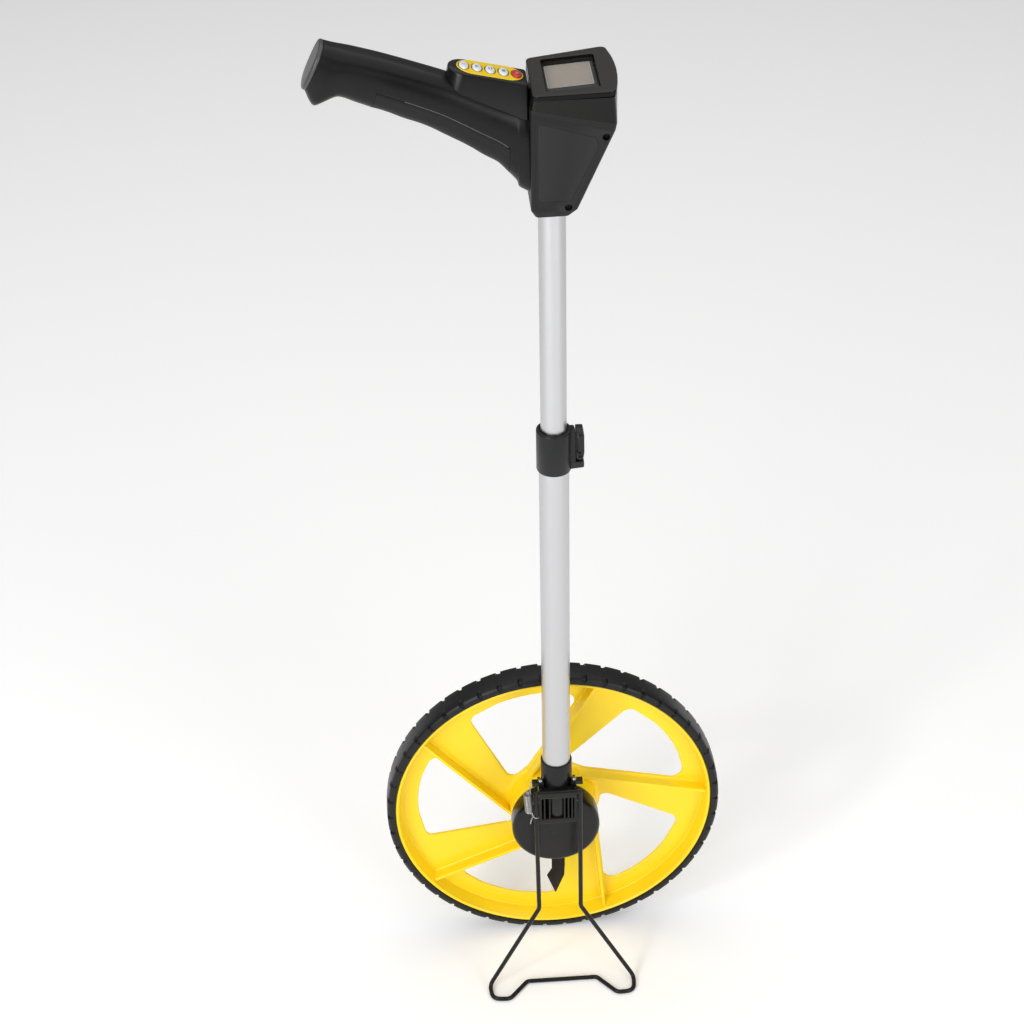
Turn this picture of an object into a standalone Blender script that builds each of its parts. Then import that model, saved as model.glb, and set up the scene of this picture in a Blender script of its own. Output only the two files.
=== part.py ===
"""Digital measuring wheel (one metre of travel to the turn), built from separate pieces.

Sizes are in millimetres in the assembly's own axes and are scaled to metres when a mesh is made.
+X is the direction of travel, +Y runs along the axle away from the pole, +Z is up, and the origin
is on the ground under the wheel's centre, in the plane of the rim's front edge.
"""

import math

import bmesh
import bpy
from mathutils import Vector

MM = 0.001
GAP = 0.3

# Where the assembly's axes sit, so that the whole object is centred on the world's origin.
CENTRE_X = 13.7
CENTRE_Y = 31.87

# Wheel
WHEEL_RADIUS = 1000.0 / (2.0 * math.pi)
WHEEL_Z = WHEEL_RADIUS
TREAD_BLOCKS = 50
TREAD_GROOVE = 0.24
TREAD_DEPTH = 2.2
NOTCH_LENGTH = 6.2
TYRE_FRONT = -1.0
TYRE_BACK = 25.0
RIM_RADIUS = 151.0
RIM_SEAT = 149.0
RIM_DEPTH = 24.0
FLANGE = 1.5
WEB_FRONT = 15.3
WEB_BACK = 17.9
SPOKES = 5
OPENING_OUTER = 128.9
OPENING_INNER = 46.0
STRAIGHT_EDGE = (30.7, -40.2)
FLARED_EDGE = (45.6, -24.2)
RIB_OFFSET = -36.8
RIB_WIDTH = 3.2
RIB_FRONT = 4.0
DRUM_RADIUS = 41.0
DRUM_FRONT = -8.4
DRUM_FLOOR = -3.0
BEARING_RADIUS = 10.9
BEARING_WIDTH = 7.0
AXLE_RADIUS = 4.0
MAGNETS = 4
MAGNET_CIRCLE = 30.0

# Hub housing and pole
POLE_Y = -34.3
HOUSING_RADIUS = 41.5
HOUSING_FRONT = -30.5
HOUSING_BACK = -11.0
HOUSING_BEVEL = 3.0
WALL = 2.5
COVER_FRONT = -14.0
SOCKET_RADIUS = 14.4
SOCKET_BOTTOM = 188.0
SOCKET_TOP = 251.5
CABLE_ENTRY_Z = 194.5
BOARD_FRONT = -20.0
BOARD_BACK = -18.4
LOWER_TUBE_RADIUS = 12.85
LOWER_TUBE_BORE = 12.05
LOWER_TUBE_BOTTOM = 206.0
LOWER_TUBE_TOP = 600.0
UPPER_TUBE_RADIUS = 10.95
UPPER_TUBE_BORE = 9.95
UPPER_TUBE_BOTTOM = 460.3
UPPER_TUBE_TOP = 846.0

# Kickstand and its bracket
BRACKET_BOTTOM = 184.5
WING_TOP = 232.7
BRACKET_SCREW_X = 15.6
BRACKET_SCREW_Y = -44.0
PIVOT_Y = -49.5
PIVOT_Z = 222.5
WIRE_RADIUS = 2.1

# Clamp
COLLAR_BOTTOM = 572.5
COLLAR_TOP = 612.0
COLLAR_RADIUS = 14.8
LEVER_X = 21.5
LEVER_Z = 587.0

# Head and handle
SHELL = 2.2
HEAD_BACK = -17.8
BEZEL_SLOPE = 0.075
BEZEL_LEFT = -16.5
BEZEL_TOP = 926.0
UPPER_SCREW = (39.2, 886.5)
UPPER_SCREW_FACE = -59.2
LOWER_SCREW = (11.0, 827.0)
LOWER_SCREW_FACE = -55.8
HANDLE_FRONT = HEAD_BACK - GAP
GRIP_ANGLE = -12.0
SECTION_POWER = 2.8
CAP_STEPS = 24

# Keypad
POD_ANGLE = 12.9
POD_X = -48.0
POD_Z = 932.9
POD_HALF_WIDTH = 14.6
POD_DEPTH = 31.0
POD_LEFT = -29.5
BUTTONS = 5
BUTTON_PITCH = 10.1
BUTTON_FIRST = -17.8
BUTTON_HALF_WIDTH = 3.65
BUTTON_HALF_LENGTH = 7.3

BLACK = ("black_plastic", (0.020, 0.020, 0.022), 0.38, 0.0)
SATIN = ("satin_black", (0.030, 0.030, 0.032), 0.55, 0.0)
YELLOW = ("yellow_plastic", (1.0, 0.62, 0.01), 0.35, 0.0)
RUBBER = ("black_rubber", (0.022, 0.022, 0.022), 0.75, 0.0)
ALUMINIUM = ("anodised_aluminium", (0.72, 0.72, 0.74), 0.32, 1.0)
STEEL = ("zinc_steel", (0.62, 0.62, 0.64), 0.28, 1.0)
COATED = ("black_coated_wire", (0.018, 0.018, 0.018), 0.35, 0.2)
GREY = ("grey_plastic", (0.42, 0.42, 0.42), 0.40, 0.0)
WHITE = ("white_plastic", (0.85, 0.86, 0.88), 0.35, 0.0)
RED = ("red_plastic", (0.70, 0.02, 0.03), 0.35, 0.0)
NYLON = ("natural_nylon", (0.75, 0.74, 0.68), 0.50, 0.0)
BOARD = ("circuit_board", (0.02, 0.16, 0.07), 0.45, 0.0)
GLASS = ("display_window", (0.28, 0.25, 0.22), 0.08, 0.0)
LCD = ("lcd_glass", (0.30, 0.28, 0.24), 0.15, 0.0)
CELL = ("battery_sleeve", (0.10, 0.12, 0.16), 0.30, 0.3)


# ---------------------------------------------------------------- making objects

def clear_scene():
    for old in list(bpy.data.objects):
        bpy.data.objects.remove(old, do_unlink=True)


def material(spec):
    name, colour, roughness, metallic = spec
    found = bpy.data.materials.get(name)
    if found:
        return found
    made = bpy.data.materials.new(name)
    made.use_nodes = True
    shader = made.node_tree.nodes["Principled BSDF"]
    shader.inputs["Base Color"].default_value = (*colour, 1.0)
    shader.inputs["Roughness"].default_value = roughness
    shader.inputs["Metallic"].default_value = metallic
    return made


def solid(name, points, faces, spec, pivot=(0.0, 0.0, 0.0)):
    """A closed mesh from points in millimetres, with its origin at pivot, parented to the assembly."""
    origin = Vector(pivot)
    mesh = bpy.data.meshes.new(name)
    mesh.from_pydata([(Vector(p) - origin) * MM for p in points], [], faces)
    work = bmesh.new()
    work.from_mesh(mesh)
    bmesh.ops.recalc_face_normals(work, faces=work.faces)
    work.to_mesh(mesh)
    work.free()
    return place(name, mesh, spec, origin)


def place(name, data, spec, origin):
    made = bpy.data.objects.new(name, data)
    bpy.context.scene.collection.objects.link(made)
    made.data.materials.append(material(spec))
    made.location = Vector(origin) * MM
    made.parent = bpy.data.objects["assembly"]
    if made.type == "MESH":
        soften(made.data)
    return made


def soften(mesh):
    mesh.shade_smooth()
    mesh.set_sharp_from_angle(angle=math.radians(34.0))


def combine(target, tool, operation):
    """Apply a Boolean of tool to target and remove tool."""
    change = target.modifiers.new("combine", "BOOLEAN")
    change.operation = operation
    change.solver = "EXACT"
    change.object = tool
    bpy.context.view_layer.update()
    graph = bpy.context.evaluated_depsgraph_get()
    result = bpy.data.meshes.new_from_object(target.evaluated_get(graph))
    target.modifiers.clear()
    target.data = result
    bpy.data.objects.remove(tool, do_unlink=True)
    soften(result)
    return target


def cut(target, *tools):
    for tool in tools:
        combine(target, tool, "DIFFERENCE")
    return target


def join(target, *tools):
    for tool in tools:
        combine(target, tool, "UNION")
    return target


# ---------------------------------------------------------------- outlines

def polar(angle, radius):
    """A point in the wheel's plane: angle in degrees from straight up, turning towards +X."""
    turn = math.radians(angle)
    return radius * math.sin(turn), WHEEL_Z + radius * math.cos(turn)


def circle(centre, radius, steps, stretch=1.0):
    turns = [2.0 * math.pi * i / steps for i in range(steps)]
    return [(centre[0] + radius * math.cos(t), centre[1] + radius * stretch * math.sin(t)) for t in turns]


def rounded(corners, steps=3):
    """Corners are (a, b, radius). Each becomes an arc that is tangent to both of its sides."""
    outline = []
    count = len(corners)
    for i, (a, b, radius) in enumerate(corners):
        here = Vector((a, b))
        before = Vector(corners[i - 1][:2]) - here
        after = Vector(corners[(i + 1) % count][:2]) - here
        if radius <= 0.0:
            outline.append((a, b))
            continue
        half = before.angle(after) / 2.0
        reach = min(radius / math.tan(half), 0.48 * before.length, 0.48 * after.length)
        radius = reach * math.tan(half)
        middle = (before.normalized() + after.normalized()).normalized()
        centre = here + middle * (radius / math.sin(half))
        start = here + before.normalized() * reach - centre
        end = here + after.normalized() * reach - centre
        sweep = start.angle_signed(end)
        for step in range(steps + 1):
            turn = -sweep * step / steps
            spot = Vector((
                start.x * math.cos(turn) - start.y * math.sin(turn),
                start.x * math.sin(turn) + start.y * math.cos(turn),
            ))
            outline.append(tuple(centre + spot))
    return outline


def rounded_box(a0, a1, b0, b1, radius, steps=3):
    return rounded([(a0, b0, radius), (a1, b0, radius), (a1, b1, radius), (a0, b1, radius)], steps)


def stadium(a0, a1, half, steps=7):
    """A slot outline from a0 to a1 with half-round ends."""
    left = [math.pi / 2.0 + math.pi * i / steps for i in range(steps + 1)]
    right = [-math.pi / 2.0 + math.pi * i / steps for i in range(steps + 1)]
    points = [(a0 + half + half * math.cos(t), half * math.sin(t)) for t in left]
    points += [(a1 - half + half * math.cos(t), half * math.sin(t)) for t in right]
    return points


# ---------------------------------------------------------------- solids

def axis_point(axis, a, b, along):
    if axis == "X":
        return along, a, b
    if axis == "Y":
        return a, along, b
    return a, b, along


def loft(rings):
    """Points and faces of a body through rings of equal count, with flat ends."""
    count = len(rings[0])
    points = [p for ring in rings for p in ring]
    faces = []
    for level in range(len(rings) - 1):
        low = level * count
        for i in range(count):
            j = (i + 1) % count
            faces.append((low + i, low + j, low + count + j, low + count + i))
    faces.append(tuple(range(count)))
    faces.append(tuple(range((len(rings) - 1) * count, len(rings) * count)))
    return points, faces


def band(loops):
    """Points and faces of a ring-shaped body whose section runs through closed loops."""
    count = len(loops[0])
    points = [p for loop in loops for p in loop]
    faces = []
    for level in range(len(loops)):
        low = level * count
        high = ((level + 1) % len(loops)) * count
        for i in range(count):
            j = (i + 1) % count
            faces.append((low + i, low + j, high + j, high + i))
    return points, faces


def prism(name, outline, axis, start, end, spec, pivot=(0.0, 0.0, 0.0)):
    rings = [[axis_point(axis, a, b, along) for a, b in outline] for along in (start, end)]
    return solid(name, *loft(rings), spec, pivot)


def box(name, x, y, z, spec):
    outline = [(x[0], y[0]), (x[1], y[0]), (x[1], y[1]), (x[0], y[1])]
    return prism(name, outline, "Z", z[0], z[1], spec)


def turned(name, profile, axis, centre, steps, spec, pivot=(0.0, 0.0, 0.0)):
    """A body of revolution: profile is a closed list of (radius, position along the axis)."""
    loops = []
    for radius, along in profile:
        turns = [2.0 * math.pi * i / steps for i in range(steps)]
        ring = [(centre[0] + radius * math.cos(t), centre[1] + radius * math.sin(t)) for t in turns]
        loops.append([axis_point(axis, a, b, along) for a, b in ring])
    return solid(name, *band(loops), spec, pivot)


def rod(name, profile, axis, centre, steps, spec, pivot=(0.0, 0.0, 0.0)):
    """A solid bar turned from (radius, position) pairs, closed by a flat face at each end."""
    rings = []
    for radius, along in profile:
        turns = [2.0 * math.pi * i / steps for i in range(steps)]
        ring = [(centre[0] + radius * math.cos(t), centre[1] + radius * math.sin(t)) for t in turns]
        rings.append([axis_point(axis, a, b, along) for a, b in ring])
    return solid(name, *loft(rings), spec, pivot)


def wire(name, points, radius, spec, pivot=(0.0, 0.0, 0.0), resolution=2):
    """A round wire through points, as a poly curve with filled ends."""
    origin = Vector(pivot)
    curve = bpy.data.curves.new(name, "CURVE")
    curve.dimensions = "3D"
    curve.bevel_depth = radius * MM
    curve.bevel_resolution = resolution
    curve.use_fill_caps = True
    spline = curve.splines.new("POLY")
    spline.points.add(len(points) - 1)
    for slot, point in zip(spline.points, points):
        slot.co = (*((Vector(point) - origin) * MM), 1.0)
    return place(name, curve, spec, origin)


def bent(corners, steps=4):
    """A path through corners (x, y, z, bend radius), each bend an arc tangent to its two runs."""
    path = [Vector(corners[0][:3])]
    for before, corner, after in zip(corners, corners[1:], corners[2:]):
        here = Vector(corner[:3])
        back = (Vector(before[:3]) - here)
        ahead = (Vector(after[:3]) - here)
        half = back.angle(ahead) / 2.0
        reach = min(corner[3] / math.tan(half), 0.48 * back.length, 0.48 * ahead.length)
        start = here + back.normalized() * reach
        end = here + ahead.normalized() * reach
        for step in range(steps + 1):
            t = step / steps
            path.append(start * (1 - t) ** 2 + here * 2 * t * (1 - t) + end * t ** 2)
    path.append(Vector(corners[-1][:3]))
    return path


# ---------------------------------------------------------------- wheel

def tyre():
    """Tyre with a notch in each shoulder every 20 mm, standing on a flat of its tread."""
    pitch = 360.0 / TREAD_BLOCKS
    half_block = pitch * (1.0 - TREAD_GROOVE) / 2.0
    half_groove = pitch * TREAD_GROOVE / 2.0
    corner = WHEEL_RADIUS / math.cos(math.radians(half_block))
    columns = []
    for block in range(TREAD_BLOCKS):
        middle = 180.0 + block * pitch
        columns.append((middle - half_block, corner, 0.0))
        columns.append((middle + half_block, corner, 0.0))
        columns.append((middle + half_block + 0.25 * half_groove, corner, TREAD_DEPTH))
        columns.append((middle + pitch - half_block - 0.25 * half_groove, corner, TREAD_DEPTH))
    section = [
        (RIM_RADIUS + GAP, TYRE_FRONT, 0.0),
        (WHEEL_RADIUS - 3.2, TYRE_FRONT, 0.0),
        (None, TYRE_FRONT + 1.6, 1.0),
        (None, TYRE_FRONT + NOTCH_LENGTH, 1.0),
        (None, TYRE_FRONT + NOTCH_LENGTH + 0.6, 0.0),
        (None, TYRE_BACK - NOTCH_LENGTH - 0.6, 0.0),
        (None, TYRE_BACK - NOTCH_LENGTH, 1.0),
        (None, TYRE_BACK - 1.6, 1.0),
        (WHEEL_RADIUS - 3.2, TYRE_BACK, 0.0),
        (RIM_RADIUS + GAP, TYRE_BACK, 0.0),
        (RIM_RADIUS + GAP, RIM_DEPTH - FLANGE - GAP, 0.0),
        (RIM_SEAT + GAP, RIM_DEPTH - FLANGE - GAP, 0.0),
        (RIM_SEAT + GAP, FLANGE + GAP, 0.0),
        (RIM_RADIUS + GAP, FLANGE + GAP, 0.0),
    ]
    loops = []
    for radius, along, tread in section:
        loop = []
        for angle, outer, depth in columns:
            reach = outer - depth * tread if radius is None else radius
            x, z = polar(angle, reach)
            loop.append((x, along, z))
        loops.append(loop)
    solid("tyre", *band(loops), RUBBER, (0.0, 0.0, WHEEL_Z))


def edge_point(edge, turn, radius):
    """Where a spoke edge, a straight line at a fixed offset from the centre, meets a radius."""
    heading, offset = edge
    lean = math.degrees(math.asin(offset / radius))
    return heading + turn + lean


def spoke_opening(turn):
    """The rounded window between the spoke at this turn and the next one."""
    pitch = 360.0 / SPOKES
    outer_start = edge_point(FLARED_EDGE, turn, OPENING_OUTER)
    outer_end = edge_point(STRAIGHT_EDGE, turn + pitch, OPENING_OUTER)
    inner_start = edge_point(FLARED_EDGE, turn, OPENING_INNER)
    inner_end = edge_point(STRAIGHT_EDGE, turn + pitch, OPENING_INNER)
    corners = [(*polar(outer_start, OPENING_OUTER), 9.0)]
    arc_steps = 5
    for step in range(1, arc_steps):
        angle = outer_start + (outer_end - outer_start) * step / arc_steps
        corners.append((*polar(angle, OPENING_OUTER), 0.0))
    corners.append((*polar(outer_end, OPENING_OUTER), 13.0))
    corners.append((*polar(inner_end, OPENING_INNER), 20.0))
    corners.append((*polar((inner_start + inner_end) / 2.0, OPENING_INNER), 0.0))
    corners.append((*polar(inner_start, OPENING_INNER), 11.0))
    return rounded(corners, 3)


def spoke_rib(name, edge, turn, inset, width, inner, outer, front, back):
    """A straight wall along a spoke edge, from the drum out to the rim."""
    heading, offset = edge[0] + turn, inset
    sine = math.sin(math.radians(heading))
    cosine = math.cos(math.radians(heading))
    outline = []
    for along, side in ((inner, -1), (outer, -1), (outer, 1), (inner, 1)):
        reach = math.sqrt(along ** 2 - offset ** 2)
        across = offset + side * width / 2.0
        outline.append((reach * sine + across * cosine, WHEEL_Z + reach * cosine - across * sine))
    return prism(name, outline, "Y", front, back, YELLOW)


def wheel_rim():
    """One moulding: rim channel, web with five windows, ribs, sensor drum and bearing hub."""
    bore = BEARING_RADIUS + GAP
    inside = DRUM_RADIUS - WALL
    profile = [
        (RIM_RADIUS, 0.0), (RIM_RADIUS, FLANGE), (RIM_SEAT, FLANGE),
        (RIM_SEAT, RIM_DEPTH - FLANGE), (RIM_RADIUS, RIM_DEPTH - FLANGE), (RIM_RADIUS, RIM_DEPTH),
        (147.2, RIM_DEPTH), (146.0, WEB_BACK), (inside, WEB_BACK), (inside, DRUM_FLOOR + WALL),
        (20.0, DRUM_FLOOR + WALL), (19.0, 22.0), (bore, 22.0), (bore, 14.7), (8.0, 14.7),
        (8.0, 8.3), (bore, 8.3), (bore, DRUM_FLOOR), (inside, DRUM_FLOOR), (inside, DRUM_FRONT),
        (DRUM_RADIUS, DRUM_FRONT), (DRUM_RADIUS + 0.6, WEB_FRONT), (145.6, WEB_FRONT), (148.0, 0.0),
    ]
    pivot = (0.0, 0.0, WHEEL_Z)
    rim = turned("wheel_rim", profile, "Y", (0.0, WHEEL_Z), 60, YELLOW, pivot)
    for spoke in range(SPOKES):
        turn = spoke * 360.0 / SPOKES
        tool = prism("tool", spoke_opening(turn), "Y", WEB_FRONT - 5.0, WEB_BACK + 5.0, YELLOW)
        cut(rim, tool)
    for spoke in range(SPOKES):
        turn = spoke * 360.0 / SPOKES
        reach = (DRUM_RADIUS - 1.0, 146.8)
        join(rim, spoke_rib("rib", STRAIGHT_EDGE, turn, RIB_OFFSET, RIB_WIDTH, *reach,
                            RIB_FRONT, WEB_FRONT + 1.0))
        join(rim, spoke_rib("rib", FLARED_EDGE, turn, FLARED_EDGE[1] - 1.9, 2.6, DRUM_RADIUS + 14.0,
                            OPENING_OUTER - 2.0, WEB_BACK - 1.0, WEB_BACK + 3.6))


def bearings():
    for name, front in (("bearing_front", 1.0), ("bearing_rear", 15.0)):
        back = front + BEARING_WIDTH
        inner = AXLE_RADIUS + GAP
        profile = [(inner, front), (BEARING_RADIUS, front), (BEARING_RADIUS, back), (inner, back)]
        turned(name, profile, "Y", (0.0, WHEEL_Z), 28, STEEL, (0.0, 0.0, WHEEL_Z))


def magnets():
    """Disc magnets on the floor of the drum, which the reed switch counts."""
    back = DRUM_FLOOR - GAP
    for index in range(MAGNETS):
        centre = polar(45.0 + index * 360.0 / MAGNETS, MAGNET_CIRCLE)
        rod(f"magnet_{index + 1}", [(4.0, back - 3.0), (4.0, back)], "Y", centre, 14, STEEL,
            (0.0, 0.0, WHEEL_Z))


def axle():
    """Fixed bolt with its head inside the housing, and the washer and nut behind the wheel."""
    centre = (0.0, WHEEL_Z)
    front = HOUSING_FRONT + WALL + GAP
    profile = [(7.0, front), (7.0, front + 5.3), (AXLE_RADIUS, front + 5.3), (AXLE_RADIUS, 33.0)]
    rod("axle_bolt", profile, "Y", centre, 24, STEEL)
    inner = AXLE_RADIUS + GAP
    turned("axle_washer", [(inner, 22.4), (8.0, 22.4), (8.0, 24.0), (inner, 24.0)], "Y", centre, 24, STEEL)
    nut = rod("axle_nut", [(7.4, 24.3), (7.4, 30.8)], "Y", centre, 6, STEEL)
    cut(nut, rod("bore", [(inner, 20.0), (inner, 35.0)], "Y", centre, 24, STEEL))


# ---------------------------------------------------------------- hub housing

def hub_housing():
    """Round sensor housing with the pole socket standing on its front."""
    inside = HOUSING_RADIUS - WALL
    profile = [
        (0.8, HOUSING_FRONT), (HOUSING_RADIUS - HOUSING_BEVEL, HOUSING_FRONT),
        (HOUSING_RADIUS, HOUSING_FRONT + HOUSING_BEVEL), (HOUSING_RADIUS, HOUSING_BACK),
        (inside, HOUSING_BACK), (inside, HOUSING_FRONT + WALL), (0.8, HOUSING_FRONT + WALL),
    ]
    housing = turned("hub_housing", profile, "Y", (0.0, WHEEL_Z), 40, BLACK)
    plug = [(1.2, HOUSING_FRONT + 0.4), (1.2, HOUSING_FRONT + WALL - 0.4)]
    join(housing, rod("plug", plug, "Y", (0.0, WHEEL_Z), 12, BLACK))
    outline = [(SOCKET_RADIUS - 1.5, SOCKET_BOTTOM), (SOCKET_RADIUS, SOCKET_BOTTOM + 1.5),
               (SOCKET_RADIUS, SOCKET_TOP - 1.0), (SOCKET_RADIUS - 0.6, SOCKET_TOP)]
    pole = (0.0, POLE_Y)
    join(housing, rod("socket", outline, "Z", pole, 28, BLACK))
    hollow = [(inside - 0.2, HOUSING_FRONT + WALL), (inside - 0.2, 5.0)]
    cut(housing, rod("hollow", hollow, "Y", (0.0, WHEEL_Z), 40, BLACK))
    bore = LOWER_TUBE_RADIUS + GAP
    bore_profile = [(bore, LOWER_TUBE_BOTTOM - GAP), (bore, SOCKET_TOP + 5.0)]
    cut(housing, rod("bore", bore_profile, "Z", pole, 28, BLACK))
    step = [(9.5, SOCKET_BOTTOM + 2.5), (9.5, LOWER_TUBE_BOTTOM + 2.0)]
    cut(housing, rod("step", step, "Z", pole, 16, BLACK))


def housing_cover():
    """Plate that closes the housing behind the sensor board and carries the pointer."""
    outer = HOUSING_RADIUS - WALL - 2.0 * GAP
    inner = AXLE_RADIUS + GAP
    front, back = COVER_FRONT, HOUSING_BACK - GAP
    profile = [(inner, front), (outer, front), (outer, back), (inner, back)]
    turned("housing_cover", profile, "Y", (0.0, WHEEL_Z), 28, SATIN)


def direction_pointer():
    """Arrow below the housing that marks the start and end of a measurement at the ground."""
    outline = [
        (-3.2, 143.0), (-3.2, 88.7), (-8.0, 80.1), (0.4, 56.2), (9.0, 79.7), (9.6, 92.7), (9.6, 143.0),
    ]
    front = HOUSING_BACK + GAP
    prism("direction_pointer", outline, "Y", front, front + 1.5, BLACK)


def sensor():
    """Reed-switch board inside the housing, opposite the magnets."""
    board = rounded_box(-15.0, 15.0, 176.0, 193.0, 2.0)
    prism("sensor_board", board, "Y", BOARD_FRONT, BOARD_BACK, BOARD)
    switch = [(1.3, -8.0), (1.3, 8.0)]
    rod("reed_switch", switch, "X", (BOARD_BACK + 1.7, 184.0), 10, GLASS)


def stand_bracket():
    """Bracket on the socket with two cheeks, cross bars, fins, wings and the kickstand's bores."""
    cheek = rounded_box(-50.3, HOUSING_FRONT - GAP, BRACKET_BOTTOM, 227.5, 2.0)
    bracket = prism("stand_bracket", cheek, "X", -17.4, -15.2, BLACK)
    join(bracket, prism("cheek", cheek, "X", 15.2, 17.4, BLACK))
    pivot_bar = rounded_box(-54.2, -44.9, 218.2, 226.8, 2.0)
    join(bracket, prism("bar", pivot_bar, "X", -17.3, 17.3, BLACK))
    sill = rounded_box(-50.2, HOUSING_FRONT - 2.0 * GAP, BRACKET_BOTTOM + 0.1, BRACKET_BOTTOM + 6.0, 1.0)
    join(bracket, prism("sill", sill, "X", -16.3, 16.3, BLACK))
    for x in (-12.4, -7.6, 6.2, 9.8, 13.2):
        join(bracket, box("fin", (x - 0.7, x + 0.7), (-49.9, -40.0), (BRACKET_BOTTOM + 4.0, 220.0), BLACK))
    for side in (-1.0, 1.0):
        near, far = sorted((side * 12.8, side * 23.4))
        join(bracket, box("wing", (near, far), (-47.0, -41.0), (WING_TOP - 4.0, WING_TOP), BLACK))
        near, far = sorted((side * 12.6, side * 17.3))
        join(bracket, box("boss", (near, far), (-46.8, -41.2), (222.0, WING_TOP - 1.0), BLACK))
    clearance = [(SOCKET_RADIUS + GAP, SOCKET_BOTTOM - GAP), (SOCKET_RADIUS + GAP, SOCKET_TOP)]
    cut(bracket, rod("clearance", clearance, "Z", (0.0, POLE_Y), 28, BLACK))
    for side in (-1.0, 1.0):
        span = sorted((side * 11.5, side * 25.0))
        bore = [(WIRE_RADIUS + GAP, span[0]), (WIRE_RADIUS + GAP, span[1])]
        cut(bracket, rod("bore", bore, "X", (PIVOT_Y, PIVOT_Z), 16, BLACK))
        hole = [(1.5, WING_TOP - 6.2), (1.5, WING_TOP + 3.0)]
        cut(bracket, rod("hole", hole, "Z", (side * BRACKET_SCREW_X, BRACKET_SCREW_Y), 12, BLACK))


def bracket_screws():
    """Pan-head screws through the roots of the bracket's wings."""
    base = WING_TOP + GAP
    profile = [(1.2, WING_TOP - 5.5), (1.2, base), (2.3, base), (2.3, base + 1.4), (1.4, base + 2.1)]
    for name, side in (("bracket_screw_left", -1.0), ("bracket_screw_right", 1.0)):
        rod(name, profile, "Z", (side * BRACKET_SCREW_X, BRACKET_SCREW_Y), 14, STEEL)


# ---------------------------------------------------------------- kickstand

def kickstand_route():
    """Centre line of the wire, from one bore in the bracket round the feet to the other bore."""
    ground = WIRE_RADIUS
    return [
        (-12.0, PIVOT_Y, PIVOT_Z, 0.0),
        (-20.6, PIVOT_Y, PIVOT_Z, 3.0),
        (-19.8, -65.2, 91.0, 10.0),
        (-69.5, -75.5, ground, 7.0),
        (-67.5, -93.5, ground, 9.0),
        (-51.0, -94.5, ground, 8.0),
        (-33.0, -73.5, ground, 6.0),
        (34.5, -73.5, ground, 6.0),
        (52.5, -95.0, ground, 8.0),
        (68.5, -94.0, ground, 9.0),
        (70.5, -75.5, ground, 7.0),
        (19.8, -65.2, 91.0, 10.0),
        (20.6, PIVOT_Y, PIVOT_Z, 3.0),
        (12.0, PIVOT_Y, PIVOT_Z, 0.0),
    ]


def kickstand():
    pivot = (0.0, PIVOT_Y, PIVOT_Z)
    wire("kickstand", bent(kickstand_route()), WIRE_RADIUS, COATED, pivot)
    spring(pivot)


def spring(pivot):
    """Extension spring from the left wing down to the left leg."""
    turns, steps, radius = 9, 7, 3.3
    top, bottom = Vector((-28.2, -49.5, 222.6)), Vector((-27.0, -52.4, 203.6))
    path = [Vector((-24.5, -45.0, 231.0)), Vector((-25.9, -47.0, 229.0))]
    for step in range(turns * steps + 1):
        t = step / (turns * steps)
        turn = 2.0 * math.pi * step / steps
        around = Vector((radius * math.cos(turn), radius * math.sin(turn), 0.0))
        path.append(top.lerp(bottom, t) + around)
    path.append(Vector((-24.2, -53.4, 200.4)))
    path.append(Vector((-24.6, -54.0, 195.0)))
    path.append(Vector((-25.8, -54.2, 190.0)))
    wire("stand_spring", path, 0.6, STEEL, pivot, 0)


# ---------------------------------------------------------------- pole

def tubes():
    centre = (0.0, POLE_Y)
    lower = [(LOWER_TUBE_BORE, LOWER_TUBE_BOTTOM), (LOWER_TUBE_RADIUS, LOWER_TUBE_BOTTOM),
             (LOWER_TUBE_RADIUS, LOWER_TUBE_TOP), (LOWER_TUBE_BORE, LOWER_TUBE_TOP)]
    turned("lower_tube", lower, "Z", centre, 28, ALUMINIUM)
    upper = [(UPPER_TUBE_BORE, UPPER_TUBE_BOTTOM), (UPPER_TUBE_RADIUS, UPPER_TUBE_BOTTOM),
             (UPPER_TUBE_RADIUS, UPPER_TUBE_TOP), (UPPER_TUBE_BORE, UPPER_TUBE_TOP)]
    turned("upper_tube", upper, "Z", centre, 28, ALUMINIUM)
    liner = [(11.25, 560.0), (LOWER_TUBE_BORE - GAP, 560.0), (LOWER_TUBE_BORE - GAP, 599.0), (11.25, 599.0)]
    turned("guide_liner", liner, "Z", centre, 28, NYLON)
    top = UPPER_TUBE_BOTTOM - GAP
    spigot = UPPER_TUBE_BORE - GAP
    glide = [(8.8, 450.0), (LOWER_TUBE_BORE - GAP, 450.0), (LOWER_TUBE_BORE - GAP, top), (spigot, top),
             (spigot, top + 10.0), (8.8, top + 10.0)]
    turned("tube_glide", glide, "Z", centre, 28, NYLON)


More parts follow.
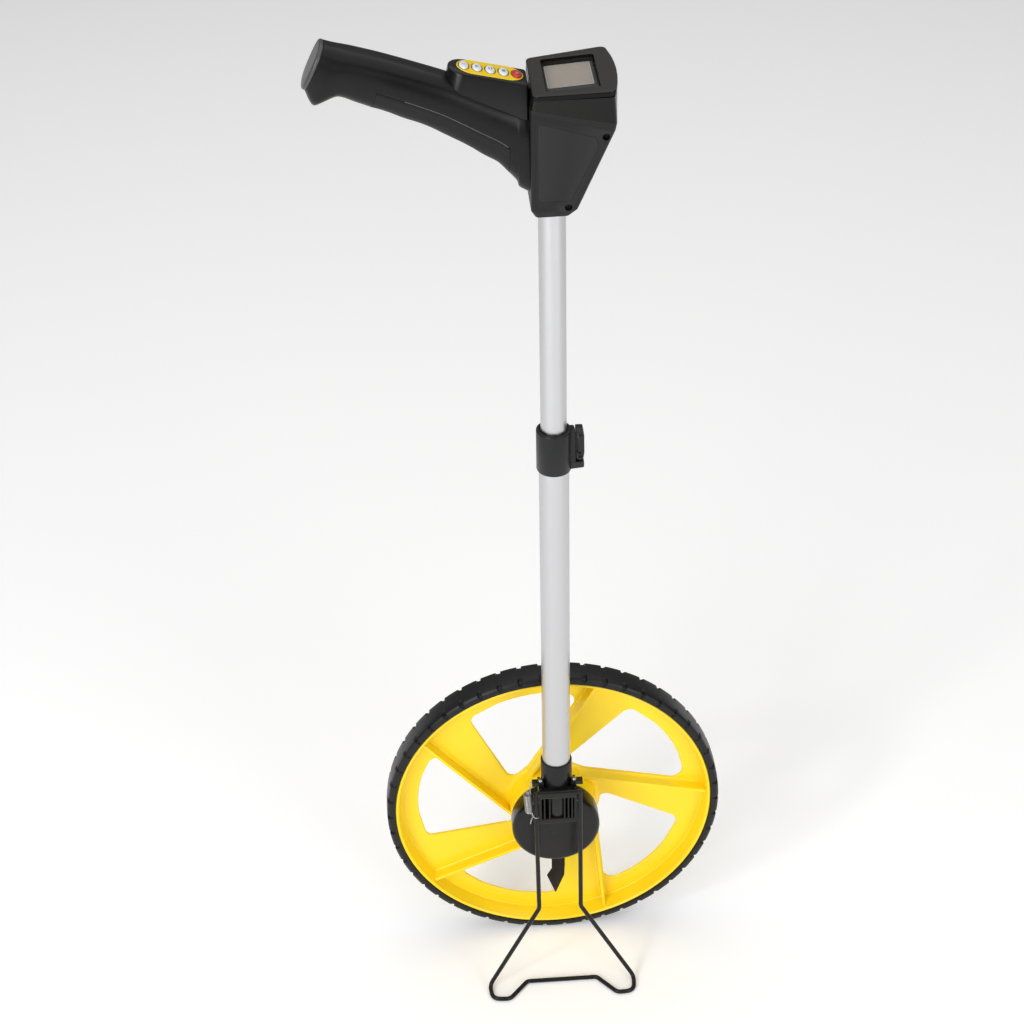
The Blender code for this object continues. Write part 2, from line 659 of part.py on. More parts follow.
def signal_cable():
    """Coiled lead inside the pole, from the sensor board up to the main board."""
    turns, steps, radius = 14, 7, 5.2
    bottom, top = 214.0, 838.0
    front = BOARD_FRONT - 1.6
    path = [Vector((0.0, front, 181.0)), Vector((0.0, front - 0.5, CABLE_ENTRY_Z - 3.0)),
            Vector((0.0, front - 3.0, CABLE_ENTRY_Z)), Vector((0.0, POLE_Y + 4.0, CABLE_ENTRY_Z + 1.0)),
            Vector((0.5, POLE_Y + 1.0, CABLE_ENTRY_Z + 4.0)), Vector((1.5, POLE_Y, CABLE_ENTRY_Z + 9.0))]
    for step in range(turns * steps + 1):
        turn = 2.0 * math.pi * step / steps
        height = bottom + (top - bottom) * step / (turns * steps)
        path.append(Vector((radius * math.cos(turn), POLE_Y + radius * math.sin(turn), height)))
    path.append(Vector((1.0, POLE_Y + 2.0, 850.0)))
    path.append(Vector((-2.0, POLE_Y + 6.0, 870.0)))
    path.append(Vector((-6.0, POLE_Y + 8.0, 905.0)))
    wire("signal_cable", path, 1.2, SATIN, (0.0, POLE_Y, 200.0), 0)


def clamp():
    """Collar on the lower tube with a lug, the pad it houses, and the lever that presses the pad."""
    centre = (0.0, POLE_Y)
    grip = LOWER_TUBE_RADIUS + GAP
    neck = UPPER_TUBE_RADIUS + GAP
    profile = [(grip, COLLAR_BOTTOM), (COLLAR_RADIUS - 1.0, COLLAR_BOTTOM),
               (COLLAR_RADIUS, COLLAR_BOTTOM + 1.5), (COLLAR_RADIUS, COLLAR_TOP - 1.5),
               (COLLAR_RADIUS - 1.2, COLLAR_TOP), (neck, COLLAR_TOP),
               (neck, LOWER_TUBE_TOP + GAP), (grip, LOWER_TUBE_TOP + GAP)]
    collar = turned("clamp_collar", profile, "Z", centre, 28, BLACK)
    lug = [(13.9, 575.1), (24.8, 576.2), (24.8, 581.6), (24.0, 590.0), (13.9, 590.0)]
    join(collar, prism("lug", lug, "Y", POLE_Y - 2.6, POLE_Y + 2.6, BLACK))
    ledge = [(13.6, 574.7), (24.9, 575.9), (24.9, 581.7), (13.6, 581.7)]
    join(collar, prism("ledge", ledge, "Y", POLE_Y - 6.4, POLE_Y + 6.4, BLACK))
    join(collar, box("rail", (12.9, 17.8), (POLE_Y - 6.2, POLE_Y + 6.2), (580.9, 611.0), BLACK))
    cut(collar, rod("bore", [(grip, 560.0), (grip, LOWER_TUBE_TOP + GAP)], "Z", centre, 28, BLACK))
    cut(collar, box("window", (5.0, 25.0), (POLE_Y - 3.3, POLE_Y + 3.3), (602.0, 609.6), BLACK))
    pin_hole = [(1.5, POLE_Y - 9.0), (1.5, POLE_Y + 9.0)]
    cut(collar, rod("pin_hole", pin_hole, "Y", (LEVER_X, LEVER_Z), 12, BLACK))
    box("clamp_pad", (UPPER_TUBE_RADIUS + GAP, 18.0), (POLE_Y - 3.0, POLE_Y + 3.0), (602.3, 609.3), NYLON)
    rod("lever_pin", [(1.2, POLE_Y - 6.3), (1.2, POLE_Y + 6.3)], "Y", (LEVER_X, LEVER_Z), 12, STEEL)
    clamp_lever()


def clamp_lever():
    """Forked lever on the lug: its foot turns on the pin and its upper end is the finger lift."""
    foot = [math.radians(180.0 + 20.0 * i) for i in range(10)]
    outline = [(LEVER_X + 3.2 * math.cos(t), LEVER_Z + 3.6 * math.sin(t)) for t in foot]
    outline += [(25.2, LEVER_Z + 4.0), (25.0, 609.5), (24.0, 613.4), (18.6, 613.6), (18.3, 600.5),
                (19.8, 598.0)]
    pivot = (LEVER_X, POLE_Y, LEVER_Z)
    lever = prism("clamp_lever", outline, "Y", POLE_Y - 6.3, POLE_Y + 6.3, BLACK, pivot)
    cut(lever, box("fork", (10.0, 30.0), (POLE_Y - 2.9, POLE_Y + 2.9), (575.0, 594.5), BLACK))
    hole = rod("hole", [(1.5, POLE_Y - 9.0), (1.5, POLE_Y + 9.0)], "Y", (LEVER_X, LEVER_Z), 12, BLACK)
    cut(lever, hole)


# ---------------------------------------------------------------- head

# Head sections from the pole up: height at the back and at the nose, back, front corner, front
# middle, and half widths at the back and at the front.
HEAD_SECTIONS = [
    (818.5, 818.5, -14.6, 12.4, 13.2, 20.5, 20.0),
    (824.5, 824.5, HEAD_BACK, 18.4, 19.2, 23.2, 22.6),
    (907.5, 890.5, HEAD_BACK, 46.4, 47.8, 25.6, 27.4),
    (910.5, 897.5, HEAD_BACK, 47.4, 49.0, 26.8, 29.6),
    (921.1, 925.4, -16.6, 44.6, 49.2, 34.4, 41.0),
]


def head_path(section, inset, side):
    """Half of a head section from the back seam round to the nose seam."""
    z_back, z_front, back, corner, front, half_back, half_front = section
    back, corner, front = back + inset, corner - inset, front - inset
    half_back, half_front = half_back - inset, half_front - inset
    bend = 3.4 if inset == 0.0 else 1.4
    edge = 0.5 * GAP
    flat = [(back, edge), (back, half_back - bend), (back + 0.3 * bend, half_back - 0.3 * bend),
            (back + bend, half_back), (corner - bend, half_front),
            (corner - 0.3 * bend, half_front - 0.3 * bend), (corner, half_front - bend),
            (0.35 * corner + 0.65 * front, 0.5 * half_front), (front, edge)]
    run = section[4] - section[2]
    points = []
    for x, half in flat:
        share = (x - section[2]) / run
        points.append((x, POLE_Y + side * half, z_back + (z_front - z_back) * share))
    return points


def head_shell(name, side):
    rings = []
    for section in HEAD_SECTIONS:
        inner = head_path(section, SHELL, side)
        rings.append(head_path(section, 0.0, side) + inner[::-1])
    return solid(name, *loft(rings), BLACK)


def battery_door_outline(grow):
    return rounded([(-12.2 - grow, 833.0 - grow, 3.0), (12.6 + grow, 833.0 - grow, 3.0),
                    (33.6 + grow, 878.5, 4.0), (32.0 + grow, 886.0 + grow, 2.0),
                    (-12.2 - grow, 899.0 + grow, 3.0)])


def head_shells():
    """Two half shells of the head, and the battery door that is let into the near one."""
    near = head_shell("head_shell_near", -1.0)
    head_shell("head_shell_far", 1.0)
    door = head_shell("battery_door", -1.0)
    y_far = POLE_Y - 12.0
    keep = prism("keep", battery_door_outline(0.0), "Y", -80.0, y_far, BLACK)
    combine(door, keep, "INTERSECT")
    cut(near, prism("tool", battery_door_outline(GAP), "Y", -80.0, y_far, BLACK))
    screws = (("head_screw_upper", UPPER_SCREW, UPPER_SCREW_FACE),
              ("head_screw_lower", LOWER_SCREW, LOWER_SCREW_FACE))
    for name, centre, face in screws:
        cut(near, rod("hole", [(2.9, -80.0), (2.9, y_far)], "Y", centre, 14, BLACK))
        profile = [(2.5, face), (2.5, face + 1.8), (1.2, face + 1.8), (1.2, face + 11.0)]
        rod(name, profile, "Y", centre, 14, STEEL)


def pole_socket():
    """Moulded block that holds the upper tube in the bottom of the head."""
    block = prism("pole_socket", rounded_box(-13.6, 12.6, POLE_Y - 17.6, POLE_Y + 17.6, 2.0), "Z",
                  822.0, 841.0, SATIN)
    bore = UPPER_TUBE_RADIUS + GAP
    screw_hole = rod("hole", [(1.6, -60.0), (1.6, -30.0)], "Y", LOWER_SCREW, 12, SATIN)
    cut(block, rod("bore", [(bore, 810.0), (bore, 850.0)], "Z", (0.0, POLE_Y), 28, SATIN), screw_hole)


def on_display(x, y, height):
    """A point above the bezel's sloping top face, with y measured from the pole's plane."""
    return x, POLE_Y + y, BEZEL_TOP + (x - BEZEL_LEFT) * BEZEL_SLOPE + height


def bezel_outline(inset):
    """Outer edge of the display bezel: narrower at the back, bowed at the front."""
    left, right, bow = BEZEL_LEFT + inset, 44.6 - inset, 49.2 - inset
    near_back, near_front = 35.2 - inset, 41.8 - inset
    corners = [(left, -near_back, 4.0), (right, -near_front, 5.0), (0.3 * right + 0.7 * bow, -18.0, 0.0),
               (bow, 0.0, 0.0), (0.3 * right + 0.7 * bow, 18.0, 0.0), (right, near_front, 5.0),
               (left, near_back, 4.0), (left, 0.0, 0.0)]
    return rounded(corners, 3)


def window_outline(inset):
    """Matches bezel_outline point for point, so that the two edges bridge cleanly."""
    left, right, half = -5.6 + inset, 34.6 - inset, 29.6 - inset
    corners = [(left, -half, 2.0), (right, -half, 2.0), (right, -10.0, 0.0), (right, 0.0, 0.0),
               (right, 10.0, 0.0), (right, half, 2.0), (left, half, 2.0), (left, 0.0, 0.0)]
    return rounded(corners, 3)


def display():
    """Bezel, window, LCD and main board, all parallel to the bezel's sloping face."""
    levels = [(bezel_outline(0.0), -4.4), (bezel_outline(0.0), -1.4), (bezel_outline(1.2), 0.0),
              (window_outline(-1.0), 0.0), (window_outline(0.0), -1.2), (window_outline(0.0), -4.4)]
    loops = [[on_display(x, y, height) for x, y in outline] for outline, height in levels]
    solid("display_bezel", *band(loops), BLACK)
    plates = (
        ("display_window", rounded_box(-5.2, 34.2, -29.2, 29.2, 1.8), -3.8, -2.4, GLASS),
        ("lcd_module", rounded_box(-4.6, 33.6, -27.0, 27.0, 1.0), -9.2, -4.8, LCD),
        ("main_board", rounded_box(-12.5, 40.0, -26.0, 26.0, 1.5), -11.2, -9.6, BOARD),
    )
    for name, outline, low, high, spec in plates:
        rings = [[on_display(x, y, height) for x, y in outline] for height in (low, high)]
        solid(name, *loft(rings), spec)


def batteries():
    """Open-fronted holder with two cells side by side behind the battery door."""
    cell_y = -44.6
    holder = box("battery_holder", (-2.0, 30.6), (-52.0, -36.2), (855.0, 909.0), SATIN)
    cut(holder, box("pocket", (-0.6, 29.2), (-60.0, -36.9), (856.4, 907.6), SATIN))
    corner = [(24.0, 850.0), (40.0, 850.0), (40.0, 884.0), (30.0, 866.0)]
    cut(holder, prism("corner", corner, "Y", -60.0, -30.0, SATIN))
    for name, x in (("battery_1", 6.9), ("battery_2", 21.7)):
        profile = [(6.6, 857.0), (7.0, 857.6), (7.0, 905.0), (2.6, 905.2), (2.6, 906.6)]
        rod(name, profile, "Z", (x, cell_y), 18, CELL)


# ---------------------------------------------------------------- handle

# Handle sections from its rear end to the head: top and bottom of the section in the pole's
# plane, and its half width.
HANDLE_SECTIONS = [
    (-167.6, 960.4, -184.4, 926.2, 16.8),
    (-160.0, 958.2, -178.6, 913.6, 17.4),
    (-150.0, 955.4, -160.6, 920.2, 17.5),
    (-132.0, 950.2, -146.0, 914.6, 17.5),
    (-120.0, 946.3, -134.0, 909.6, 17.5),
    (-98.5, 938.8, -112.0, 900.4, 17.6),
    (-75.5, 930.2, -87.0, 888.8, 18.0),
    (-50.0, 918.0, -58.5, 871.0, 18.3),
    (-36.5, 912.4, -41.0, 859.0, 18.3),
    (-27.0, 909.0, -28.0, 844.6, 18.3),
    (-25.0, 908.2, -25.6, 838.4, 18.3),
    (HANDLE_FRONT, 906.0, HANDLE_FRONT, 833.6, 18.3),
]
GRIP_FIRST = 4
GRIP_LAST = 8


def handle_point(section, angle, inset):
    """A point on a handle section: 90 degrees is the top, 0 the side and -90 the underside."""
    x_top, z_top, x_low, z_low, half_width = section
    top, low = Vector((x_top, z_top)), Vector((x_low, z_low))
    middle = (top + low) / 2.0
    upward = (top - low).normalized()
    half_height = (top - low).length / 2.0 - inset
    turn = math.radians(angle)
    power = 2.0 / SECTION_POWER
    across = math.copysign(abs(math.cos(turn)) ** power, math.cos(turn)) * (half_width - inset)
    rise = math.copysign(abs(math.sin(turn)) ** power, math.sin(turn)) * half_height
    return middle.x + upward.x * rise, across, middle.y + upward.y * rise


def blend_section(first, second, share):
    return tuple(a + (b - a) * share for a, b in zip(first, second))


def handle_ring(section, start, end, side, steps=10):
    """Closed ring of a shell wall between two angles, outside first and then back inside."""
    angles = [start + (end - start) * i / steps for i in range(steps + 1)]
    ring = []
    for inset, order in ((0.0, angles), (SHELL, angles[::-1])):
        for angle in order:
            x, across, z = handle_point(section, angle, inset)
            if side != 0.0:
                across = side * max(across, 0.5 * GAP)
            ring.append((x, POLE_Y + across, z))
    return ring


def handle_shells():
    """Two half shells with the underside left open where the soft grip is let in."""
    first, last = HANDLE_SECTIONS[GRIP_FIRST], HANDLE_SECTIONS[GRIP_LAST]
    before = blend_section(first, HANDLE_SECTIONS[GRIP_FIRST - 1], 0.03)
    after = blend_section(last, HANDLE_SECTIONS[GRIP_LAST + 1], 0.04)
    stations = [(section, -90.0) for section in HANDLE_SECTIONS[:GRIP_FIRST]] + [(before, -90.0)]
    stations += [(section, GRIP_ANGLE) for section in HANDLE_SECTIONS[GRIP_FIRST:GRIP_LAST + 1]]
    stations += [(after, -90.0)] + [(section, -90.0) for section in HANDLE_SECTIONS[GRIP_LAST + 1:]]
    for name, side in (("handle_shell_near", -1.0), ("handle_shell_far", 1.0)):
        rings = [handle_ring(section, 90.0, end, side) for section, end in stations]
        shell = solid(name, *loft(rings), BLACK)
        cut(shell, pod_body("tool", GAP, -POD_DEPTH - 3.0, 12.0, BLACK))


def grip_insert():
    """Soft grip in the underside of the handle."""
    span = HANDLE_SECTIONS[GRIP_FIRST:GRIP_LAST + 1]
    span[0] = blend_section(span[0], span[1], 0.02)
    span[-1] = blend_section(span[-1], span[-2], 0.03)
    margin = 2.0
    rings = [handle_ring(section, GRIP_ANGLE - margin, -180.0 - GRIP_ANGLE + margin, 0.0, 12)
             for section in span]
    solid("grip_insert", *loft(rings), RUBBER)


def end_cap():
    """Plate that closes the rear end of the handle."""
    x_top, z_top, x_low, z_low, half_width = HANDLE_SECTIONS[0]
    along = Vector((x_top - x_low, z_top - z_low)).normalized()
    outward = Vector((-along.y, along.x))
    rings = []
    for reach, inset in ((GAP, 0.0), (2.0, 0.0), (3.2, 1.2)):
        moved = (x_top + outward.x * reach, z_top + outward.y * reach,
                 x_low + outward.x * reach, z_low + outward.y * reach, half_width)
        points = [handle_point(moved, 360.0 * i / CAP_STEPS, inset) for i in range(CAP_STEPS)]
        rings.append([(x, POLE_Y + across, z) for x, across, z in points])
    solid("handle_end_cap", *loft(rings), GREY)


# ---------------------------------------------------------------- keypad

def on_pod(u, v, w):
    """A point in the keypad's axes: u along its slope, v across the handle, w out of its face."""
    tilt = math.radians(POD_ANGLE)
    x = POD_X + u * math.cos(tilt) + w * math.sin(tilt)
    z = POD_Z - u * math.sin(tilt) + w * math.cos(tilt)
    return x, POLE_Y + v, z


def pod_outline(grow, w):
    """The pod's outline at a height: its front end stays upright, against the head's back."""
    tilt = math.radians(POD_ANGLE)
    front = (HANDLE_FRONT - POD_X - w * math.sin(tilt)) / math.cos(tilt)
    left, right, half = POD_LEFT - grow, front + grow, POD_HALF_WIDTH + grow
    corners = [(left, -half, 13.0), (right, -half, 1.5), (right, half, 1.5), (left, half, 13.0)]
    return rounded(corners, 5)


def pod_prism(name, outline, low, high, spec, pivot=(0.0, 0.0, 0.0)):
    rings = [[on_pod(u, v, w) for u, v in outline] for w in (low, high)]
    return solid(name, *loft(rings), spec, pivot)


def pod_body(name, grow, low, high, spec):
    """The pod's own shape between two heights, grown by a margin."""
    rings = [[on_pod(u, v, w) for u, v in pod_outline(grow, w)] for w in (low, high)]
    return solid(name, *loft(rings), spec)


def button_centre(index):
    return BUTTON_FIRST + index * BUTTON_PITCH


def button_outline(index, grow):
    wide, long = BUTTON_HALF_WIDTH + grow, BUTTON_HALF_LENGTH + grow
    return circle((button_centre(index), 0.0), wide, 16, long / wide)


def keypad():
    """Raised keypad pod, its printed label, the switch board and five buttons."""
    pod = pod_body("keypad_pod", 0.0, -POD_DEPTH, 0.0, BLACK)
    cut(pod, pod_body("hollow", -2.0, -POD_DEPTH - 5.0, -2.0, BLACK))
    label = pod_prism("keypad_label", stadium(-23.9, 28.3, 12.8), GAP, 0.9, YELLOW)
    for index in range(BUTTONS):
        cut(pod, pod_prism("hole", button_outline(index, GAP), -5.0, 5.0, BLACK))
        cut(label, pod_prism("hole", button_outline(index, GAP), -5.0, 5.0, YELLOW))
    pod_body("keypad_board", -3.4, -6.0, -4.4, BOARD)
    for index in range(BUTTONS):
        levels = [(0.7, -3.2), (0.7, -2.3), (0.0, -2.3), (0.0, 1.6), (-0.7, 2.2)]
        rings = [[on_pod(u, v, w) for u, v in button_outline(index, grow)] for grow, w in levels]
        spec = RED if index == BUTTONS - 1 else WHITE
        solid(f"button_{index + 1}", *loft(rings), spec, on_pod(button_centre(index), 0.0, 0.0))


# ---------------------------------------------------------------- assembly

def build():
    clear_scene()
    assembly = bpy.data.objects.new("assembly", None)
    bpy.context.scene.collection.objects.link(assembly)
    assembly.location = (CENTRE_X * MM, CENTRE_Y * MM, 0.0)
    tyre()
    wheel_rim()
    bearings()
    magnets()
    axle()
    hub_housing()
    housing_cover()
    direction_pointer()
    sensor()
    stand_bracket()
    bracket_screws()
    kickstand()
    tubes()
    signal_cable()
    clamp()
    head_shells()
    pole_socket()
    display()
    batteries()
    handle_shells()
    grip_insert()
    end_cap()
    keypad()


build()
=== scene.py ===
"""The finished look of the digital measuring wheel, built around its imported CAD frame.

Sizes are in millimetres in the instrument's own axes: +X is the direction of travel, +Y runs along
the axle away from the pole, +Z is up, and the origin is on the ground under the wheel's centre, in
the plane of the rim's front edge. at() turns such a point into a place in the frame, in metres.
"""

import math

import bmesh
import bpy
from mathutils import Matrix, Vector


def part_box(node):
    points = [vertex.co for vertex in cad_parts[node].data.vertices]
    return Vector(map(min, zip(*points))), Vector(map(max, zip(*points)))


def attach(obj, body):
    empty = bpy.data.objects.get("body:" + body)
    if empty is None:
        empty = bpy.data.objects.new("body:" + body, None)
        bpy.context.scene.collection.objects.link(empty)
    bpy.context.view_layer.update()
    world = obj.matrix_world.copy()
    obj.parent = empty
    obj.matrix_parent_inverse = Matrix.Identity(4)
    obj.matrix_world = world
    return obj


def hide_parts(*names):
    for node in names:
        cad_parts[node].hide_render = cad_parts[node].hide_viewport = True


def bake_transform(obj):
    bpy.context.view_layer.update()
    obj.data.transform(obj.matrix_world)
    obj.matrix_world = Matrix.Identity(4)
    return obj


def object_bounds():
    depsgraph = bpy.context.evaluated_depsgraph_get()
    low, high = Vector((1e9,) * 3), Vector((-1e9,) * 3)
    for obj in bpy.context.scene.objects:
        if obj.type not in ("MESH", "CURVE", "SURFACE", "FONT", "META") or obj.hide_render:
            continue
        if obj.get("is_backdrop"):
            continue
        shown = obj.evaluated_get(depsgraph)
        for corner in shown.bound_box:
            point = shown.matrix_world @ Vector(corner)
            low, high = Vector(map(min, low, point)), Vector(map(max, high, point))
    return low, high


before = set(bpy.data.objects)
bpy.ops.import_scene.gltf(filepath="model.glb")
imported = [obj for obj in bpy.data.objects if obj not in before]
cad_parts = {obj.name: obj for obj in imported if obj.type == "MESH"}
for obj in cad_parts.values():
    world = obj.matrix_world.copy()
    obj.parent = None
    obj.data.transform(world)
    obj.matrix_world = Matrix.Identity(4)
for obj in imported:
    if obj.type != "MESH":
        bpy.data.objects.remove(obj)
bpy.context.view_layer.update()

MM = 0.001
TYRE_FRONT = -1.0
TYRE_BACK = 25.0
tyre_low, tyre_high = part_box("tyre")
ORIGIN = Vector(((tyre_low.x + tyre_high.x) / 2.0, tyre_low.y - TYRE_FRONT * MM, 0.0))

# Wheel
WHEEL_RADIUS = 1000.0 / (2.0 * math.pi)
TREAD_NOTCHES = 50
RIM_RADIUS = 151.0
RIM_SEAT = 149.0
RIM_DEPTH = 24.0
WEB_FRONT = 15.3
WEB_BACK = 17.9
SPOKES = 5
OPENING_OUTER = 128.9
OPENING_INNER = 46.0
STRAIGHT_EDGE = (30.7, -40.2)
FLARED_EDGE = (45.6, -24.2)
RIB_OFFSET = -36.8
RIB_HALF = 1.6
RIB_FRONT = 4.0
DRUM_RADIUS = 41.0
DRUM_FRONT = -8.4
DRUM_FLOOR = -3.0
BEARING_RADIUS = 10.9
AXLE_RADIUS = 4.0
GAP = 0.3

# Hub housing, pole and stand
POLE_Y = -34.3
HOUSING_RADIUS = 41.5
HOUSING_FRONT = -30.5
HOUSING_BACK = -11.0
WALL = 2.5
SOCKET_RADIUS = 14.4
SOCKET_BOTTOM = 188.0
SOCKET_TOP = 251.5
LOWER_TUBE = (12.85, 12.05, 206.0, 600.0)
UPPER_TUBE = (10.95, 9.95, 460.3, 846.0)
PIVOT_Y = -49.5
PIVOT_Z = 222.5
WIRE_RADIUS = 2.1
WING_TOP = 232.7
WING_SCREW = (15.6, -44.0)

# Signal cable: where it leaves the sensor board and where it enters the pole
BOARD_FRONT = -20.0
CABLE_ENTRY_Z = 194.5

# Clamp
COLLAR_BOTTOM = 572.5
COLLAR_TOP = 612.0
COLLAR_RADIUS = 14.8
LEVER_X = 21.5
LEVER_Z = 587.0

# Head
SHELL = 2.2
HEAD_BACK = -17.8
# z at the back and at the front, x of the back, corner and nose, and half width at back and front
HEAD_SECTIONS = [
    (818.5, 818.5, -14.6, 12.4, 13.2, 20.5, 20.0),
    (824.5, 824.5, HEAD_BACK, 18.4, 19.2, 23.2, 22.6),
    (907.5, 890.5, HEAD_BACK, 46.4, 47.8, 25.6, 27.4),
    (910.5, 897.5, HEAD_BACK, 47.4, 49.0, 26.8, 29.6),
    (921.1, 925.4, -16.6, 44.6, 49.2, 34.4, 41.0),
]
HEAD_BEND = 3.4
INNER_BEND = 1.4
CREASE_REACH = 0.7
DOOR_GAP = 0.16
BEZEL_SLOPE = 0.075
BEZEL_LEFT = -16.5
BEZEL_TOP = 926.0
UPPER_SCREW = (39.2, 886.5)
LOWER_SCREW = (11.0, 827.0)
UPPER_SCREW_FACE = -59.2
LOWER_SCREW_FACE = -55.8
SHELL_CUT_START = -80.0

# Handle
HANDLE_FRONT = HEAD_BACK - GAP
# x and z of the top and of the bottom of each section in the pole's plane, and its half width
HANDLE_SECTIONS = [
    (-167.6, 960.4, -184.4, 926.2, 16.8),
    (-160.0, 958.2, -178.6, 913.6, 17.4),
    (-150.0, 955.4, -160.6, 920.2, 17.5),
    (-132.0, 950.2, -146.0, 914.6, 17.5),
    (-120.0, 946.3, -134.0, 909.6, 17.5),
    (-98.5, 938.8, -112.0, 900.4, 17.6),
    (-75.5, 930.2, -87.0, 888.8, 18.0),
    (-50.0, 918.0, -58.5, 871.0, 18.3),
    (-36.5, 912.4, -41.0, 859.0, 18.3),
    (-27.0, 909.0, -28.0, 844.6, 18.3),
    (-25.0, 908.2, -25.6, 838.4, 18.3),
    (HANDLE_FRONT, 906.0, HANDLE_FRONT, 833.6, 18.3),
]
GRIP_START = 3.8
GRIP_END = 8.5
GRIP_ANGLE = -3.0
SECTION_POWER = 2.8

# Keypad
POD_ANGLE = 12.9
POD_X = -48.0
POD_Z = 932.9
POD_HALF_WIDTH = 14.6
POD_DEPTH = 31.0
POD_LEFT = -29.5
BUTTONS = 5
BUTTON_PITCH = 10.1
BUTTON_FIRST = -17.8
BUTTON_HALF = (3.55, 6.7)
LABEL_TOP = 0.65

# Camera: lens in mm, its place, and its turn in degrees
LENS = 78.89
CAMERA_PLACE = (-129.12, -1593.63, 1620.72)
CAMERA_YAW = 3.417
CAMERA_PITCH = 34.925
CAMERA_ROLL = -1.201


# ---------------------------------------------------------------- placing

def at(x, y, z):
    """A place in the frame, in metres, from millimetres in the instrument's own axes."""
    return ORIGIN + Vector((x, y, z)) * MM


def linked(name, data):
    """A new object in the scene."""
    made = bpy.data.objects.new(name, data)
    bpy.context.scene.collection.objects.link(made)
    return made


def meshed(name, work):
    """A new object in the scene from a bmesh, which is freed."""
    mesh = bpy.data.meshes.new(name)
    work.to_mesh(mesh)
    work.free()
    return linked(name, mesh)


def solid(name, points, faces, smooth_angle=34.0):
    """A mesh object from points in the instrument's axes."""
    mesh = bpy.data.meshes.new(name)
    mesh.from_pydata([at(*p) for p in points], [], faces)
    work = bmesh.new()
    work.from_mesh(mesh)
    bmesh.ops.recalc_face_normals(work, faces=work.faces)
    work.to_mesh(mesh)
    work.free()
    soften(mesh, smooth_angle)
    return linked(name, mesh)


def soften(mesh, angle=34.0):
    mesh.shade_smooth()
    mesh.set_sharp_from_angle(angle=math.radians(angle))


def combine(target, tool, operation):
    """Apply a Boolean of tool to target and remove tool."""
    change = target.modifiers.new("combine", "BOOLEAN")
    change.operation = operation
    change.solver = "EXACT"
    change.object = tool
    bpy.context.view_layer.update()
    graph = bpy.context.evaluated_depsgraph_get()
    result = bpy.data.meshes.new_from_object(target.evaluated_get(graph))
    target.modifiers.clear()
    target.data = result
    bpy.data.objects.remove(tool, do_unlink=True)
    soften(result)
    return target


def cut(target, *tools):
    for tool in tools:
        combine(target, tool, "DIFFERENCE")
    return target


def join(target, *tools):
    for tool in tools:
        combine(target, tool, "UNION")
    return target


def gather(name, parts):
    """One object from several closed bodies."""
    work = bmesh.new()
    for part in parts:
        work.from_mesh(part.data)
    for part in parts:
        bpy.data.objects.remove(part, do_unlink=True)
    made = meshed(name, work)
    soften(made.data)
    return made


def ease(made, width):
    """Round the hard edges of a piece by width, and weight its normals to the flat faces."""
    bevel = made.modifiers.new("round", "BEVEL")
    bevel.width = width * MM
    bevel.segments = 2
    bevel.limit_method = "ANGLE"
    bevel.angle_limit = math.radians(34.0)
    flat(made)
    return made


def flat(made):
    weigh = made.modifiers.new("weigh", "WEIGHTED_NORMAL")
    weigh.keep_sharp = True
    weigh.weight = 60
    return made


def refined(name, node, width):
    """A copy of a CAD node with its seams welded and its hard edges rounded."""
    work = bmesh.new()
    work.from_mesh(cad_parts[node].data)
    bmesh.ops.remove_doubles(work, verts=work.verts, dist=0.01 * MM)
    bmesh.ops.dissolve_limit(work, angle_limit=math.radians(0.5), verts=work.verts, edges=work.edges)
    made = meshed(name, work)
    soften(made.data)
    return ease(made, width)


def keep(made, body, material, slot, *nodes):
    """Finish a piece: its material, the body it rides on and the CAD nodes it stands for."""
    made.data.materials.clear()
    made.data.materials.append(material)
    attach(made, body)
    if nodes:
        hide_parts(*nodes)
    return made


# ---------------------------------------------------------------- outlines

def polar(angle, radius):
    """A point in the wheel's plane: angle in degrees from straight up, turning towards +X."""
    turn = math.radians(angle)
    return radius * math.sin(turn), WHEEL_RADIUS + radius * math.cos(turn)


def circle(centre, radius, steps, stretch=1.0):
    turns = [2.0 * math.pi * i / steps for i in range(steps)]
    return [(centre[0] + radius * math.cos(t), centre[1] + radius * stretch * math.sin(t)) for t in turns]


def rounded(corners, steps=8):
    """Corners are (a, b, radius). Each becomes an arc that is tangent to both of its sides."""
    outline = []
    count = len(corners)
    for i, (a, b, radius) in enumerate(corners):
        here = Vector((a, b))
        before = Vector(corners[i - 1][:2]) - here
        after = Vector(corners[(i + 1) % count][:2]) - here
        if radius <= 0.0:
            outline.append((a, b))
            continue
        half = before.angle(after) / 2.0
        reach = min(radius / math.tan(half), 0.48 * before.length, 0.48 * after.length)
        radius = reach * math.tan(half)
        middle = (before.normalized() + after.normalized()).normalized()
        centre = here + middle * (radius / math.sin(half))
        start = here + before.normalized() * reach - centre
        end = here + after.normalized() * reach - centre
        sweep = start.angle_signed(end)
        for step in range(steps + 1):
            turn = -sweep * step / steps
            spot = Vector((
                start.x * math.cos(turn) - start.y * math.sin(turn),
                start.x * math.sin(turn) + start.y * math.cos(turn),
            ))
            outline.append(tuple(centre + spot))
    return outline


def rounded_box(a0, a1, b0, b1, radius, steps=6):
    return rounded([(a0, b0, radius), (a1, b0, radius), (a1, b1, radius), (a0, b1, radius)], steps)


def stadium(a0, a1, half, steps=24):
    """A slot outline from a0 to a1 with half-round ends."""
    left = [math.pi / 2.0 + math.pi * i / steps for i in range(steps + 1)]
    right = [-math.pi / 2.0 + math.pi * i / steps for i in range(steps + 1)]
    points = [(a0 + half + half * math.cos(t), half * math.sin(t)) for t in left]
    points += [(a1 - half + half * math.cos(t), half * math.sin(t)) for t in right]
    return points


